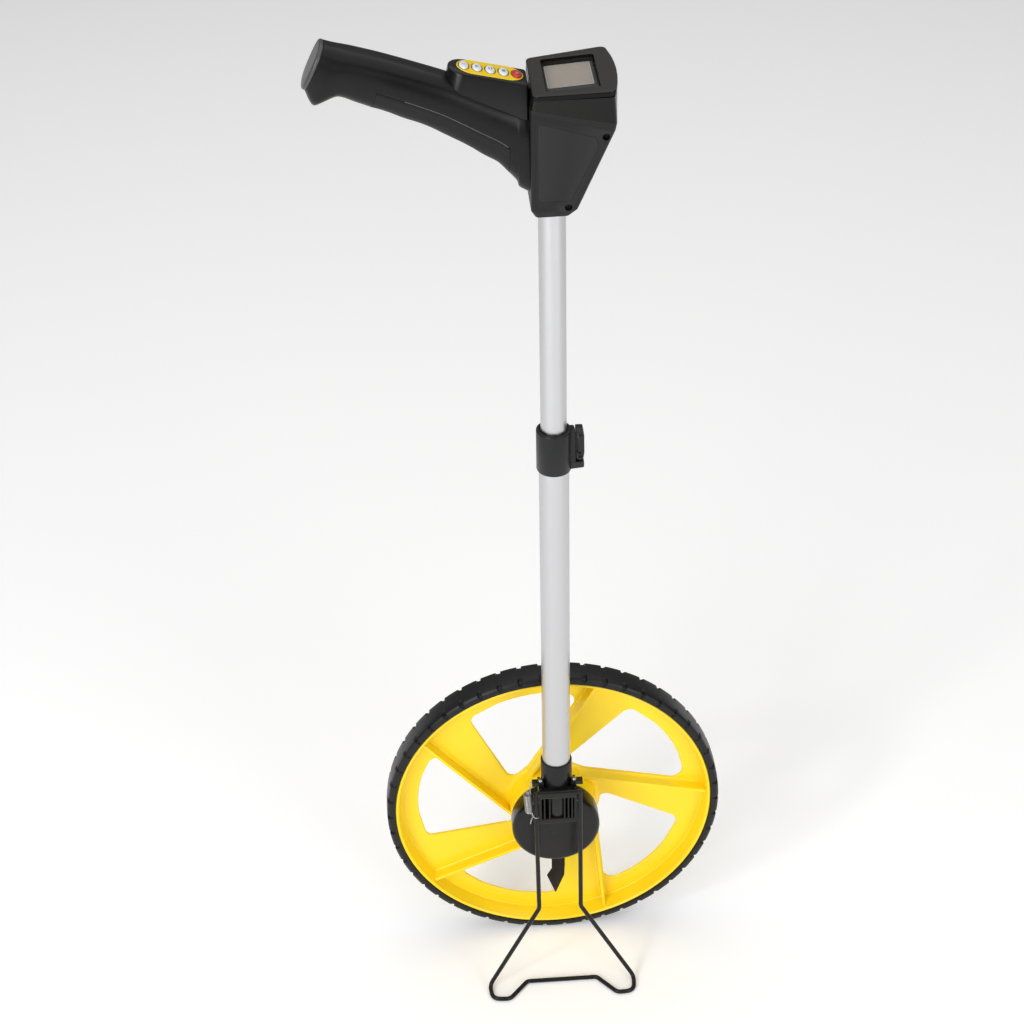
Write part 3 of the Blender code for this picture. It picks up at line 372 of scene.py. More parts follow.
def grown(outline, amount):
    """A counter-clockwise or clockwise outline moved outwards by amount along its own normals."""
    area = sum(a[0] * b[1] - b[0] * a[1] for a, b in zip(outline, outline[1:] + outline[:1]))
    side = 1.0 if area > 0.0 else -1.0
    moved = []
    for i, here in enumerate(outline):
        before = Vector(here) - Vector(outline[i - 1])
        after = Vector(outline[(i + 1) % len(outline)]) - Vector(here)
        along = (before.normalized() + after.normalized()).normalized()
        moved.append((here[0] + side * along.y * amount, here[1] - side * along.x * amount))
    return moved


def arc(centre, radius, start, end, steps):
    """Points (a, b) on an arc, with angles in degrees."""
    turns = [math.radians(start + (end - start) * i / steps) for i in range(steps + 1)]
    return [(centre[0] + radius * math.cos(t), centre[1] + radius * math.sin(t)) for t in turns]


# ---------------------------------------------------------------- bodies

def axis_point(axis, a, b, along):
    if axis == "X":
        return along, a, b
    if axis == "Y":
        return a, along, b
    return a, b, along


def loft(rings):
    """Points and faces of a body through rings of equal count, with flat ends."""
    count = len(rings[0])
    points = [p for ring in rings for p in ring]
    faces = []
    for level in range(len(rings) - 1):
        low = level * count
        for i in range(count):
            j = (i + 1) % count
            faces.append((low + i, low + j, low + count + j, low + count + i))
    faces.append(tuple(range(count)))
    faces.append(tuple(range((len(rings) - 1) * count, len(rings) * count)))
    return points, faces


def band(loops):
    """Points and faces of a ring-shaped body whose section runs through closed loops."""
    count = len(loops[0])
    points = [p for loop in loops for p in loop]
    faces = []
    for level in range(len(loops)):
        low = level * count
        high = ((level + 1) % len(loops)) * count
        for i in range(count):
            j = (i + 1) % count
            faces.append((low + i, low + j, high + j, high + i))
    return points, faces


def prism(name, outline, axis, start, end, ease_by=0.0):
    """An extruded outline, with both its end edges rounded by ease_by."""
    levels = [(start, 0.0), (end, 0.0)]
    if ease_by > 0.0:
        step = math.copysign(ease_by, end - start)
        levels = [(start, -ease_by), (start + 0.3 * step, -0.3 * ease_by), (start + step, 0.0),
                  (end - step, 0.0), (end - 0.3 * step, -0.3 * ease_by), (end, -ease_by)]
    rings = [[axis_point(axis, a, b, along) for a, b in grown(outline, grow)] for along, grow in levels]
    return solid(name, *loft(rings))


def box(name, x, y, z):
    outline = [(x[0], y[0]), (x[1], y[0]), (x[1], y[1]), (x[0], y[1])]
    return prism(name, outline, "Z", z[0], z[1])


def circles(profile, axis, centre, steps):
    loops = []
    for radius, along in profile:
        turns = [2.0 * math.pi * i / steps for i in range(steps)]
        ring = [(centre[0] + radius * math.cos(t), centre[1] + radius * math.sin(t)) for t in turns]
        loops.append([axis_point(axis, a, b, along) for a, b in ring])
    return loops


def turned(name, profile, axis, centre, steps=128):
    """A body of revolution: profile is a closed list of (radius, position along the axis)."""
    return solid(name, *band(circles(profile, axis, centre, steps)))


def rod(name, profile, axis, centre, steps=64):
    """A solid bar turned from (radius, position) pairs, closed by a flat face at each end."""
    return solid(name, *loft(circles(profile, axis, centre, steps)))


def wire(name, points, radius, sides=5):
    """A round wire along points, as a mesh with closed ends."""
    curve = bpy.data.curves.new(name, "CURVE")
    curve.dimensions = "3D"
    curve.bevel_depth = radius * MM
    curve.bevel_resolution = sides
    curve.use_fill_caps = True
    spline = curve.splines.new("POLY")
    spline.points.add(len(points) - 1)
    for slot, point in zip(spline.points, points):
        slot.co = (*at(*point), 1.0)
    holder = linked(name + "_path", curve)
    bpy.context.view_layer.update()
    mesh = bpy.data.meshes.new_from_object(holder.evaluated_get(bpy.context.evaluated_depsgraph_get()))
    bpy.data.objects.remove(holder, do_unlink=True)
    soften(mesh, 50.0)
    return linked(name, mesh)


def bent(corners, steps=14):
    """A path through corners (x, y, z, bend radius), each bend a smooth curve between its two runs."""
    path = [Vector(corners[0][:3])]
    for before, corner, after in zip(corners, corners[1:], corners[2:]):
        here = Vector(corner[:3])
        back = (Vector(before[:3]) - here)
        ahead = (Vector(after[:3]) - here)
        half = back.angle(ahead) / 2.0
        reach = min(corner[3] / math.tan(half), 0.48 * back.length, 0.48 * ahead.length)
        start = here + back.normalized() * reach
        end = here + ahead.normalized() * reach
        for step in range(steps + 1):
            t = step / steps
            path.append(start * (1 - t) ** 2 + here * 2 * t * (1 - t) + end * t ** 2)
    path.append(Vector(corners[-1][:3]))
    return path


# ---------------------------------------------------------------- materials

def node(tree, kind, settings=None, **values):
    made = tree.nodes.new(kind)
    for name, value in (settings or {}).items():
        setattr(made, name, value)
    for name, value in values.items():
        made.inputs[name.replace("_", " ")].default_value = value
    return made


def spans(tree, source, low, high, from_low=0.3, from_high=0.7):
    """source stretched to run from low to high."""
    made = node(tree, "ShaderNodeMapRange", None, From_Min=from_low, From_Max=from_high,
                To_Min=low, To_Max=high)
    tree.links.new(source, made.inputs["Value"])
    return made.outputs["Result"]


def colour_mix(tree):
    """A colour mix node, its two colour inputs and its colour output."""
    made = node(tree, "ShaderNodeMix", {"data_type": "RGBA"})
    inputs = [socket for socket in made.inputs if socket.type == "RGBA"]
    return made, inputs, [socket for socket in made.outputs if socket.type == "RGBA"][0]


def shades(tree, factor, first, second):
    """first and second mixed by factor."""
    made, inputs, output = colour_mix(tree)
    inputs[0].default_value = (*first, 1.0)
    inputs[1].default_value = (*second, 1.0)
    tree.links.new(factor, made.inputs[0])
    return output


def coordinates(tree, scale=(1.0, 1.0, 1.0)):
    place = node(tree, "ShaderNodeTexCoord")
    mapping = node(tree, "ShaderNodeMapping", None, Scale=scale)
    tree.links.new(place.outputs["Object"], mapping.inputs["Vector"])
    return mapping.outputs["Vector"]


def noise(tree, vector, scale, detail=2.0):
    made = node(tree, "ShaderNodeTexNoise", None, Scale=scale, Detail=detail)
    tree.links.new(vector, made.inputs["Vector"])
    return made.outputs["Fac"]


def surface(name, colour, roughness, metallic=0.0, grain=1400.0, relief=0.05, cloud=22.0, spread=0.06,
            tint=0.12, worn=0.0, stretch=(1.0, 1.0, 1.0), sheen=0.0, specular=0.5):
    """A finish with a fine grain, cloudy gloss, a slight drift of shade and paler worn edges."""
    made = bpy.data.materials.new(name)
    made.use_nodes = True
    tree = made.node_tree
    shader = tree.nodes["Principled BSDF"]
    shader.inputs["Metallic"].default_value = metallic
    shader.inputs["Specular IOR Level"].default_value = specular
    shader.inputs["Sheen Weight"].default_value = sheen
    vector = coordinates(tree, stretch)
    fine = noise(tree, vector, grain)
    broad = noise(tree, vector, cloud, 3.0)
    dark = [c * (1.0 - tint) for c in colour]
    pale = [min(1.0, c * (1.0 + tint)) for c in colour]
    body = shades(tree, broad, dark, pale)
    if worn > 0.0:
        edge = node(tree, "ShaderNodeNewGeometry").outputs["Pointiness"]
        amount = spans(tree, edge, 0.0, worn, 0.52, 0.62)
        lighter = [min(1.0, c + 0.10) for c in colour]
        mixed, sockets, output = colour_mix(tree)
        tree.links.new(amount, mixed.inputs[0])
        tree.links.new(body, sockets[0])
        sockets[1].default_value = (*lighter, 1.0)
        body = output
    tree.links.new(body, shader.inputs["Base Color"])
    tree.links.new(spans(tree, broad, roughness - spread, roughness + spread), shader.inputs["Roughness"])
    bump = node(tree, "ShaderNodeBump", None, Strength=relief, Distance=0.0004)
    tree.links.new(fine, bump.inputs["Height"])
    tree.links.new(bump.outputs["Normal"], shader.inputs["Normal"])
    return made


def circuit(name):
    """Solder mask with paler copper tracks."""
    made = surface(name, (0.015, 0.11, 0.045), 0.38, grain=900.0)
    tree = made.node_tree
    shader = tree.nodes["Principled BSDF"]
    body = shader.inputs["Base Color"].links[0].from_socket
    tracks = node(tree, "ShaderNodeTexBrick", None, Scale=160.0, Mortar_Size=0.03)
    tracks.inputs["Color1"].default_value = (0.02, 0.15, 0.06, 1.0)
    tracks.inputs["Color2"].default_value = (0.015, 0.10, 0.04, 1.0)
    tracks.inputs["Mortar"].default_value = (0.12, 0.30, 0.10, 1.0)
    tree.links.new(coordinates(tree), tracks.inputs["Vector"])
    mixed, sockets, output = colour_mix(tree)
    mixed.inputs[0].default_value = 0.5
    tree.links.new(body, sockets[0])
    tree.links.new(tracks.outputs["Color"], sockets[1])
    tree.links.new(output, shader.inputs["Base Color"])
    return made


GLOSS_BLACK = surface("gloss_black", (0.006, 0.006, 0.006), 0.25, relief=0.03, spread=0.05,
                      specular=0.32)
SHELL_BLACK = surface("shell_black", (0.009, 0.009, 0.009), 0.44, grain=2200.0, relief=0.06, worn=0.15,
                      specular=0.24)
# A darker, glossier copy of the black: its darkness is painted shade, used on the head's overhanging collar
# and on the bezel's sides.
PAINTED_SHADE_BLACK = surface("painted_shade_black", (0.003, 0.003, 0.003), 0.24, relief=0.02, spread=0.03,
                       specular=0.17)
HANDLE_BLACK = surface("handle_black", (0.005, 0.005, 0.005), 0.32, grain=2200.0, relief=0.05, worn=0.1,
                       specular=0.24)
BEZEL_BLACK = surface("bezel_black", (0.026, 0.024, 0.022), 0.44, grain=1800.0, relief=0.08, worn=0.1,
                      specular=0.26)
CLAMP_BLACK = surface("clamp_black", (0.009, 0.009, 0.010), 0.36, grain=1500.0, relief=0.06, worn=0.3,
                      specular=0.3)
POINTER_BLACK = surface("pointer_black", (0.010, 0.005, 0.003), 0.40, relief=0.05, specular=0.2)
INNER_BLACK = surface("inner_black", (0.02, 0.02, 0.021), 0.5, relief=0.06)
YELLOW = surface("yellow", (1.0, 0.70, 0.008), 0.36, grain=1000.0, relief=0.035, tint=0.05, spread=0.05)
LABEL_YELLOW = surface("label_yellow", (0.95, 0.66, 0.01), 0.24, relief=0.02, tint=0.04)
RUBBER = surface("rubber", (0.007, 0.007, 0.007), 0.38, grain=900.0, relief=0.10, tint=0.25, sheen=0.03,
                 specular=0.3)
GRIP_RUBBER = surface("grip_rubber", (0.006, 0.006, 0.006), 0.50, grain=700.0, relief=0.2, tint=0.2,
                      specular=0.28)
ALUMINIUM = surface("aluminium", (0.60, 0.60, 0.61), 0.36, 1.0, grain=260.0, relief=0.02, cloud=160.0,
                    spread=0.05, tint=0.06, stretch=(1.0, 1.0, 0.015))
# Near-black, barely glossy steel: on the head's screws this darkness is painted shade for their deep
# recesses; the lever pin shares it.
DARK_STEEL_AND_SHADE = surface("dark_steel_and_shade", (0.006, 0.006, 0.006), 0.5, grain=700.0, relief=0.05, specular=0.15)
STEEL = surface("steel", (0.60, 0.60, 0.61), 0.24, 1.0, grain=700.0, relief=0.05, cloud=60.0, tint=0.1)
SPRING_STEEL = surface("spring_steel", (0.42, 0.42, 0.41), 0.30, 1.0, grain=700.0, relief=0.04, tint=0.08)
COATED = surface("coated_wire", (0.006, 0.006, 0.006), 0.28, grain=800.0, relief=0.06, worn=0.1, specular=0.3)
# Pale grey for the beads along the grip's upper edges: a painted highlight for the light caught along that
# edge.
HIGHLIGHT_BEAD = surface("highlight_bead", (0.10, 0.10, 0.10), 0.4, relief=0.02)
CAP_GREY = surface("cap_grey", (0.06, 0.06, 0.062), 0.30, grain=1500.0, relief=0.03)
WHITE = surface("white", (0.80, 0.82, 0.83), 0.30, relief=0.03, tint=0.03)
RED = surface("red", (0.62, 0.015, 0.02), 0.30, relief=0.03, tint=0.06)
MARK = surface("mark", (0.20, 0.27, 0.36), 0.45, relief=0.02)
OUTLINE = surface("outline", (0.04, 0.02, 0.01), 0.45, relief=0.02)
NYLON = surface("nylon", (0.70, 0.69, 0.63), 0.5, relief=0.05, tint=0.05)
SLEEVE = surface("sleeve", (0.06, 0.10, 0.18), 0.28, 0.2, relief=0.03)
BOARD = circuit("board")
GLASS_TUBE = surface("glass_tube", (0.30, 0.34, 0.30), 0.10, relief=0.01)
LCD_BORDER = surface("lcd_border", (0.50, 0.50, 0.49), 0.30, relief=0.02, tint=0.04)
LCD_FIELD = surface("lcd_field", (0.42, 0.37, 0.315), 0.22, grain=2600.0, relief=0.05, tint=0.04)
WINDOW = surface("window", (0.16, 0.15, 0.14), 0.07, relief=0.008, spread=0.02)
WINDOW.node_tree.nodes["Principled BSDF"].inputs["Alpha"].default_value = 0.06


# ---------------------------------------------------------------- wheel

def notch_share(offset):
    """How deep the shoulder notch is at this distance round the tread from its middle."""
    return max(0.0, min(1.0, 2.5 - abs(offset)))


def tyre():
    """Tyre with a plain crowned tread and a short notch in each shoulder at every 20 mm."""
    pitch = 1000.0 / TREAD_NOTCHES
    half = [0.0, 0.35, 0.7, 0.9, 1.5, 2.0, 2.5, 2.9, 4.2, 6.2, 8.2]
    offsets = [-o for o in half[:0:-1]] + half
    columns = []
    for notch in range(TREAD_NOTCHES):
        columns += [((notch + 0.5) * pitch + offset, offset) for offset in offsets]
    middle = (TYRE_FRONT + TYRE_BACK) / 2.0
    reach = (TYRE_BACK - TYRE_FRONT) / 2.0
    # Radius, distance from the tyre's middle, notch depth and sidewall line depth.
    half_section = [
        (WHEEL_RADIUS, 3.0, 0.0, 0.0), (WHEEL_RADIUS - 0.05, 6.4, 0.0, 0.0),
        (WHEEL_RADIUS - 0.10, 6.8, 0.9, 0.0), (WHEEL_RADIUS - 0.15, 7.3, 2.1, 0.0),
        (WHEEL_RADIUS - 0.25, 9.4, 2.2, 0.0), (WHEEL_RADIUS - 0.45, 10.9, 2.2, 0.0),
        (WHEEL_RADIUS - 0.75, 11.35, 2.1, 0.0), (WHEEL_RADIUS - 2.3, 12.6, 1.6, 0.9),
        (WHEEL_RADIUS - 2.9, 12.9, 0.9, 1.0), (WHEEL_RADIUS - 5.4, reach, 0.0, 1.0),
        (WHEEL_RADIUS - 5.8, reach, 0.0, 0.0), (RIM_RADIUS + 1.2, reach, 0.0, 0.0),
        (RIM_RADIUS + 0.5, 12.8, 0.0, 0.0), (RIM_RADIUS + GAP, 12.3, 0.0, 0.0),
    ]
    inner = [(RIM_RADIUS + GAP, 10.7, 0.0, 0.0), (RIM_SEAT + GAP, 10.7, 0.0, 0.0)]
    loops = []
    for side in (-1.0, 1.0):
        section = half_section + inner
        if side > 0.0:
            section = section[::-1]
        for radius, across, notch, line in section:
            loop = []
            for along, offset in columns:
                share = notch_share(offset)
                scored = 1.0 if abs(offset) < 1.2 else 0.0
                x, z = polar(180.0 + 360.0 * along / 1000.0, radius - notch * share)
                loop.append((x, middle + side * (across - line * scored), z))
            loops.append(loop)
    made = solid("tyre_tread", *band(loops), smooth_angle=38.0)
    keep(made, "wheel", RUBBER, "tyre_rubber", "tyre")


def edge_point(edge, turn, radius):
    """Where a spoke edge, a straight line at a fixed offset from the centre, meets a radius."""
    heading, offset = edge
    lean = math.degrees(math.asin(offset / radius))
    return heading + turn + lean


def spoke_opening(turn):
    """The rounded window between the spoke at this turn and the next one."""
    pitch = 360.0 / SPOKES
    outer_start = edge_point(FLARED_EDGE, turn, OPENING_OUTER)
    outer_end = edge_point(STRAIGHT_EDGE, turn + pitch, OPENING_OUTER)
    inner_start = edge_point(FLARED_EDGE, turn, OPENING_INNER)
    inner_end = edge_point(STRAIGHT_EDGE, turn + pitch, OPENING_INNER)
    corners = [(*polar(outer_start, OPENING_OUTER), 9.0)]
    arc_steps = 24
    for step in range(7, arc_steps - 6):
        angle = outer_start + (outer_end - outer_start) * step / arc_steps
        corners.append((*polar(angle, OPENING_OUTER), 0.0))
    corners.append((*polar(outer_end, OPENING_OUTER), 13.0))
    corners.append((*polar(inner_end, OPENING_INNER), 13.0))
    corners.append((*polar(inner_start, OPENING_INNER), 12.0))
    return rounded(corners, 10)


def loop_edges(work, ring):
    verts = [work.verts.new(at(*p)) for p in ring]
    return verts, [work.edges.new((a, b)) for a, b in zip(verts, verts[1:] + verts[:1])]


def bridge(work, first, second):
    for i in range(len(first)):
        j = (i + 1) % len(first)
        work.faces.new((first[i], first[j], second[j], second[i]))


def web():
    """Flat web with five windows whose edges are rounded, as one closed plate."""
    work = bmesh.new()
    fronts, backs = [], []
    centre = (0.0, WHEEL_RADIUS)
    for ring in (circle(centre, 146.3, 180), circle(centre, 39.5, 96)):
        top, top_edges = loop_edges(work, [(x, WEB_FRONT, z) for x, z in ring])
        low, low_edges = loop_edges(work, [(x, WEB_BACK, z) for x, z in ring])
        bridge(work, top, low)
        fronts += top_edges
        backs += low_edges
    rounding = [(0.0, 1.5), (0.15, 0.85), (0.45, 0.38), (0.9, 0.08), (1.3, 0.0), (2.2, 0.0), (2.6, 0.5)]
    for spoke in range(SPOKES):
        outline = spoke_opening(spoke * 360.0 / SPOKES)
        previous = None
        for level, (depth, grow) in enumerate(rounding):
            ring = [(x, WEB_FRONT + depth, z) for x, z in grown(outline, grow)]
            verts, edges = loop_edges(work, ring)
            if previous:
                bridge(work, previous, verts)
            previous = verts
            if level == 0:
                fronts += edges
            if level == len(rounding) - 1:
                backs += edges
    for edges in (fronts, backs):
        bmesh.ops.triangle_fill(work, use_beauty=True, use_dissolve=False, edges=edges)
    bmesh.ops.recalc_face_normals(work, faces=work.faces)
    return meshed("web", work)


def spoke_rib(edge, turn, inset, inner, outer, base, top, half, fillet):
    """A straight wall along a spoke edge, filleted into the web and rounded on top."""
    heading = edge[0] + turn
    sine, cosine = math.sin(math.radians(heading)), math.cos(math.radians(heading))
    rise = math.copysign(1.0, top - base)
    section = [(half + fillet, base + 0.3 * rise), (half + fillet, base)]
    section += [(half + fillet - fillet * math.sin(t), base + rise * fillet * (1.0 - math.cos(t)))
                for t in [math.radians(22.5 * i) for i in range(1, 5)]]
    section += [(half - 0.7 + 0.7 * math.cos(t), top - rise * 0.7 * (1.0 - math.sin(t)))
                for t in [math.radians(22.5 * i) for i in range(0, 5)]]
    section = [(a, b - 0.6 * rise if i == 0 else b) for i, (a, b) in enumerate(section)]
    whole = section + [(-a, b) for a, b in section[::-1]]
    rings = []
    for reach in (inner, outer):
        along = math.sqrt(reach ** 2 - inset ** 2)
        ring = []
        for across, y in whole:
            side = inset + across
            ring.append((along * sine + side * cosine, y, WHEEL_RADIUS + along * cosine - side * sine))
        rings.append(ring)
    return solid("rib", *loft(rings))


def rim():
    """One yellow moulding: rim channel, web with windows, ribs, drum and bearing hub."""
    centre = (0.0, WHEEL_RADIUS)
    lip = arc((149.5, 1.1), 1.5, 250.0, 360.0, 8)
    channel = [(147.7, 2.0), (147.9, 0.7)] + lip
    channel += [(RIM_RADIUS, 1.5), (RIM_SEAT, 1.5), (RIM_SEAT, RIM_DEPTH - 1.5),
                (RIM_RADIUS, RIM_DEPTH - 1.5), (RIM_RADIUS, RIM_DEPTH - 0.4), (RIM_RADIUS - 0.4, RIM_DEPTH),
                (147.6, RIM_DEPTH), (147.2, RIM_DEPTH - 0.4), (146.0, WEB_BACK - 0.1),
                (145.3, WEB_FRONT + 0.1), (145.3, WEB_FRONT - 0.05)]
    channel += arc((143.6, WEB_FRONT - 2.0), 2.0, 90.0, 10.0, 6)[1:]
    parts = [turned("channel", channel, "Y", centre, 240), web()]
    inside = DRUM_RADIUS - WALL
    bore = BEARING_RADIUS + GAP
    fillet = 4.5
    drum = [(inside, DRUM_FRONT + 0.5), (inside + 0.5, DRUM_FRONT)]
    drum += arc((DRUM_RADIUS - 0.8, DRUM_FRONT + 0.8), 0.8, 270.0, 360.0, 4)
    drum += [(DRUM_RADIUS + 0.3, 3.0)]
    drum += [(DRUM_RADIUS + 0.6 + fillet * (1.0 - math.cos(t)), WEB_FRONT - fillet * (1.0 - math.sin(t)))
             for t in [math.radians(11.25 * i) for i in range(9)]]
    drum += [(DRUM_RADIUS + 0.6 + fillet, WEB_FRONT + 0.4), (inside, WEB_FRONT + 0.4), (inside, WEB_BACK),
             (inside, DRUM_FLOOR + WALL), (20.0, DRUM_FLOOR + WALL), (19.2, 21.2), (18.4, 22.0), (bore, 22.0),
             (bore, 14.7), (8.0, 14.7), (8.0, 8.3), (bore, 8.3), (bore, DRUM_FLOOR), (inside, DRUM_FLOOR)]
    parts.append(turned("drum", drum, "Y", centre, 128))
    for spoke in range(SPOKES):
        turn = spoke * 360.0 / SPOKES
        parts.append(spoke_rib(STRAIGHT_EDGE, turn, RIB_OFFSET, DRUM_RADIUS - 0.6, 147.3,
                               WEB_FRONT, RIB_FRONT, RIB_HALF, 2.0))
        parts.append(spoke_rib(FLARED_EDGE, turn, FLARED_EDGE[1] - 1.9, DRUM_RADIUS + 14.0,
                               OPENING_OUTER - 2.0, WEB_BACK, WEB_BACK + 2.2, 1.3, 0.6))
    made = gather("wheel_moulding", parts)
    flat(made)
    keep(made, "wheel", YELLOW, "yellow_plastic", "wheel_rim")


def axle_fittings():
    centre = (0.0, WHEEL_RADIUS)
    inner = AXLE_RADIUS + GAP
    washer = [(inner, 22.4), (7.8, 22.4), (8.0, 22.6), (8.0, 23.8), (7.8, 24.0), (inner, 24.0)]
    keep(turned("washer_plate", washer, "Y", centre, 96), "frame", STEEL, "steel", "axle_washer")
    nut = rod("hex_nut", [(7.0, 24.3), (7.4, 24.8), (7.4, 30.3), (7.0, 30.8)], "Y", centre, 6)
    cut(nut, rod("bore", [(inner, 20.0), (inner, 35.0)], "Y", centre, 64))
    keep(ease(nut, 0.25), "frame", STEEL, "steel", "axle_nut")
    front = HOUSING_FRONT + WALL + GAP
    bolt = [(6.6, front), (7.0, front + 0.4), (7.0, front + 5.3), (AXLE_RADIUS, front + 5.3),
            (AXLE_RADIUS, 26.0)]
    for turn in range(7):
        crest = 26.5 + turn
        bolt += [(AXLE_RADIUS, crest), (AXLE_RADIUS - 0.4, crest + 0.5)]
    bolt += [(AXLE_RADIUS - 0.6, 33.0)]
    keep(rod("axle_shaft", bolt, "Y", centre, 64), "frame", STEEL, "steel", "axle_bolt")
    for name, start in (("bearing_front", 1.0), ("bearing_rear", 15.0)):
        end = start + 7.0
        race = [(inner, start), (6.2, start), (6.4, start + 0.5), (8.6, start + 0.5), (8.8, start),
                (BEARING_RADIUS - 0.4, start), (BEARING_RADIUS, start + 0.4), (BEARING_RADIUS, end - 0.4),
                (BEARING_RADIUS - 0.4, end), (8.8, end), (8.6, end - 0.5), (6.4, end - 0.5), (6.2, end),
                (inner, end)]
        keep(turned(name + "_race", race, "Y", centre, 96), "wheel", STEEL, "steel", name)


# ---------------------------------------------------------------- hub housing

def hub():
    """Round sensor housing with a rounded front edge and the pole's socket on its front."""
    centre = (0.0, WHEEL_RADIUS)
    inside = HOUSING_RADIUS - WALL
    bend = 5.2
    profile = [(0.8, HOUSING_FRONT)]
    profile += arc((HOUSING_RADIUS - bend, HOUSING_FRONT + bend), bend, 270.0, 360.0, 10)
    profile += arc((HOUSING_RADIUS - 0.5, HOUSING_BACK - 0.5), 0.5, 0.0, 90.0, 4)
    profile += [(inside, HOUSING_BACK), (inside, HOUSING_FRONT + WALL), (0.8, HOUSING_FRONT + WALL)]
    cup = turned("housing_cup", profile, "Y", centre, 128)
    join(cup, rod("plug", [(1.2, HOUSING_FRONT + 0.02), (1.2, HOUSING_FRONT + WALL - 0.02)], "Y", centre, 24))
    socket = [(SOCKET_RADIUS - 1.5, SOCKET_BOTTOM), (SOCKET_RADIUS - 0.4, SOCKET_BOTTOM + 0.4),
              (SOCKET_RADIUS, SOCKET_BOTTOM + 1.5), (SOCKET_RADIUS, SOCKET_TOP - 0.8),
              (SOCKET_RADIUS - 0.25, SOCKET_TOP - 0.2), (SOCKET_RADIUS - 0.8, SOCKET_TOP)]
    pole = (0.0, POLE_Y)
    join(cup, rod("socket", socket, "Z", pole, 96))
    hollow = [(inside - 0.2, HOUSING_FRONT + WALL), (inside - 0.2, 5.0)]
    cut(cup, rod("hollow", hollow, "Y", centre, 128))
    bore = LOWER_TUBE[0] + GAP
    cut(cup, rod("bore", [(bore, LOWER_TUBE[2] - GAP), (bore, SOCKET_TOP + 5.0)], "Z", pole, 96))
    cut(cup, rod("step", [(9.5, SOCKET_BOTTOM + 2.5), (9.5, LOWER_TUBE[2] + 2.0)], "Z", pole, 48))
    keep(cup, "frame", GLOSS_BLACK, "black_plastic", "hub_housing")


def pointer():
    outline = rounded([(-3.2, 143.0, 0.5), (-3.2, 88.7, 1.5), (-8.0, 80.1, 0.6), (0.4, 56.2, 0.5),
                       (9.0, 79.7, 0.6), (9.6, 92.7, 1.0), (9.6, 143.0, 0.5)], 4)
    front = HOUSING_BACK + GAP
    made = prism("pointer_plate", outline, "Y", front, front + 1.5, 0.35)
    keep(made, "frame", POINTER_BLACK, "black_plastic", "direction_pointer")


def stand():
    route = [
        (-12.0, PIVOT_Y, PIVOT_Z, 0.0), (-20.6, PIVOT_Y, PIVOT_Z, 3.0), (-19.8, -65.2, 91.0, 10.0),
        (-69.5, -75.5, WIRE_RADIUS, 7.0), (-67.5, -93.5, WIRE_RADIUS, 9.0), (-51.0, -94.5, WIRE_RADIUS, 8.0),
        (-33.0, -73.5, WIRE_RADIUS, 6.0), (34.5, -73.5, WIRE_RADIUS, 6.0), (52.5, -95.0, WIRE_RADIUS, 8.0),
        (68.5, -94.0, WIRE_RADIUS, 9.0), (70.5, -75.5, WIRE_RADIUS, 7.0), (19.8, -65.2, 91.0, 10.0),
        (20.6, PIVOT_Y, PIVOT_Z, 3.0), (12.0, PIVOT_Y, PIVOT_Z, 0.0),
    ]
    keep(wire("stand_wire", bent(route), WIRE_RADIUS), "stand", COATED, "coated_wire", "kickstand")


def spring():
    """Extension spring, hooked to the bracket's wing above and to the leg below."""
    turns, steps, radius = 13, 24, 3.2
    top, bottom = Vector((-28.2, -49.5, 222.6)), Vector((-27.0, -52.4, 203.6))
    path = [Vector((-22.4, -44.0, 232.2)), Vector((-23.4, -44.4, 232.9)), Vector((-24.6, -45.4, 232.3)),
            Vector((-25.4, -46.6, 229.6)), Vector((-25.6, -48.2, 225.0))]
    for step in range(turns * steps + 1):
        t = step / (turns * steps)
        turn = 2.0 * math.pi * step / steps
        around = Vector((radius * math.cos(turn), radius * math.sin(turn), 0.0))
        path.append(top.lerp(bottom, t) + around)
    path += [Vector((-24.4, -53.2, 201.4)), Vector((-23.4, -54.6, 199.0)), Vector((-21.4, -55.2, 197.4)),
             Vector((-18.6, -54.6, 197.0)), Vector((-17.7, -52.4, 196.8)), Vector((-18.8, -50.0, 196.2)),
             Vector((-21.6, -49.6, 195.6)), Vector((-24.0, -51.2, 194.6)), Vector((-25.4, -53.2, 192.4)),
             Vector((-26.0, -54.0, 189.6))]
    made = wire("return_spring", path, 0.58, 2)
    made.data.materials.append(SPRING_STEEL)
    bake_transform(made)
    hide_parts("stand_spring")


def cross_screw(name, centre, axis, face, outward, head, shank, length, body, node_name, finish):
    """A pan-head screw with a cross recess; face is where the head's top lies along the axis."""
    inward = -outward
    profile = [(shank, face + inward * length), (shank, face + inward * 1.5 * head[1])]
    profile += [(head[0], face + inward * head[1]), (head[0], face + inward * 0.55 * head[1]),
                (head[0] * 0.86, face + inward * 0.22 * head[1]),
                (head[0] * 0.6, face + inward * 0.04 * head[1]), (head[0] * 0.3, face)]
    if length <= 1.5 * head[1]:
        profile = profile[2:]
    made = rod(name, profile, axis, centre, 48)
    reach, half, depth = 0.62 * head[0], 0.13 * head[0], 0.6 * head[1]
    for a, b in ((reach, half), (half, reach)):
        outline = [(centre[0] - a, centre[1] - b), (centre[0] + a, centre[1] - b),
                   (centre[0] + a, centre[1] + b), (centre[0] - a, centre[1] + b)]
        cut(made, prism("slot", outline, axis, face + inward * depth, face + outward * 1.0))
    return keep(made, body, finish, "steel", node_name)


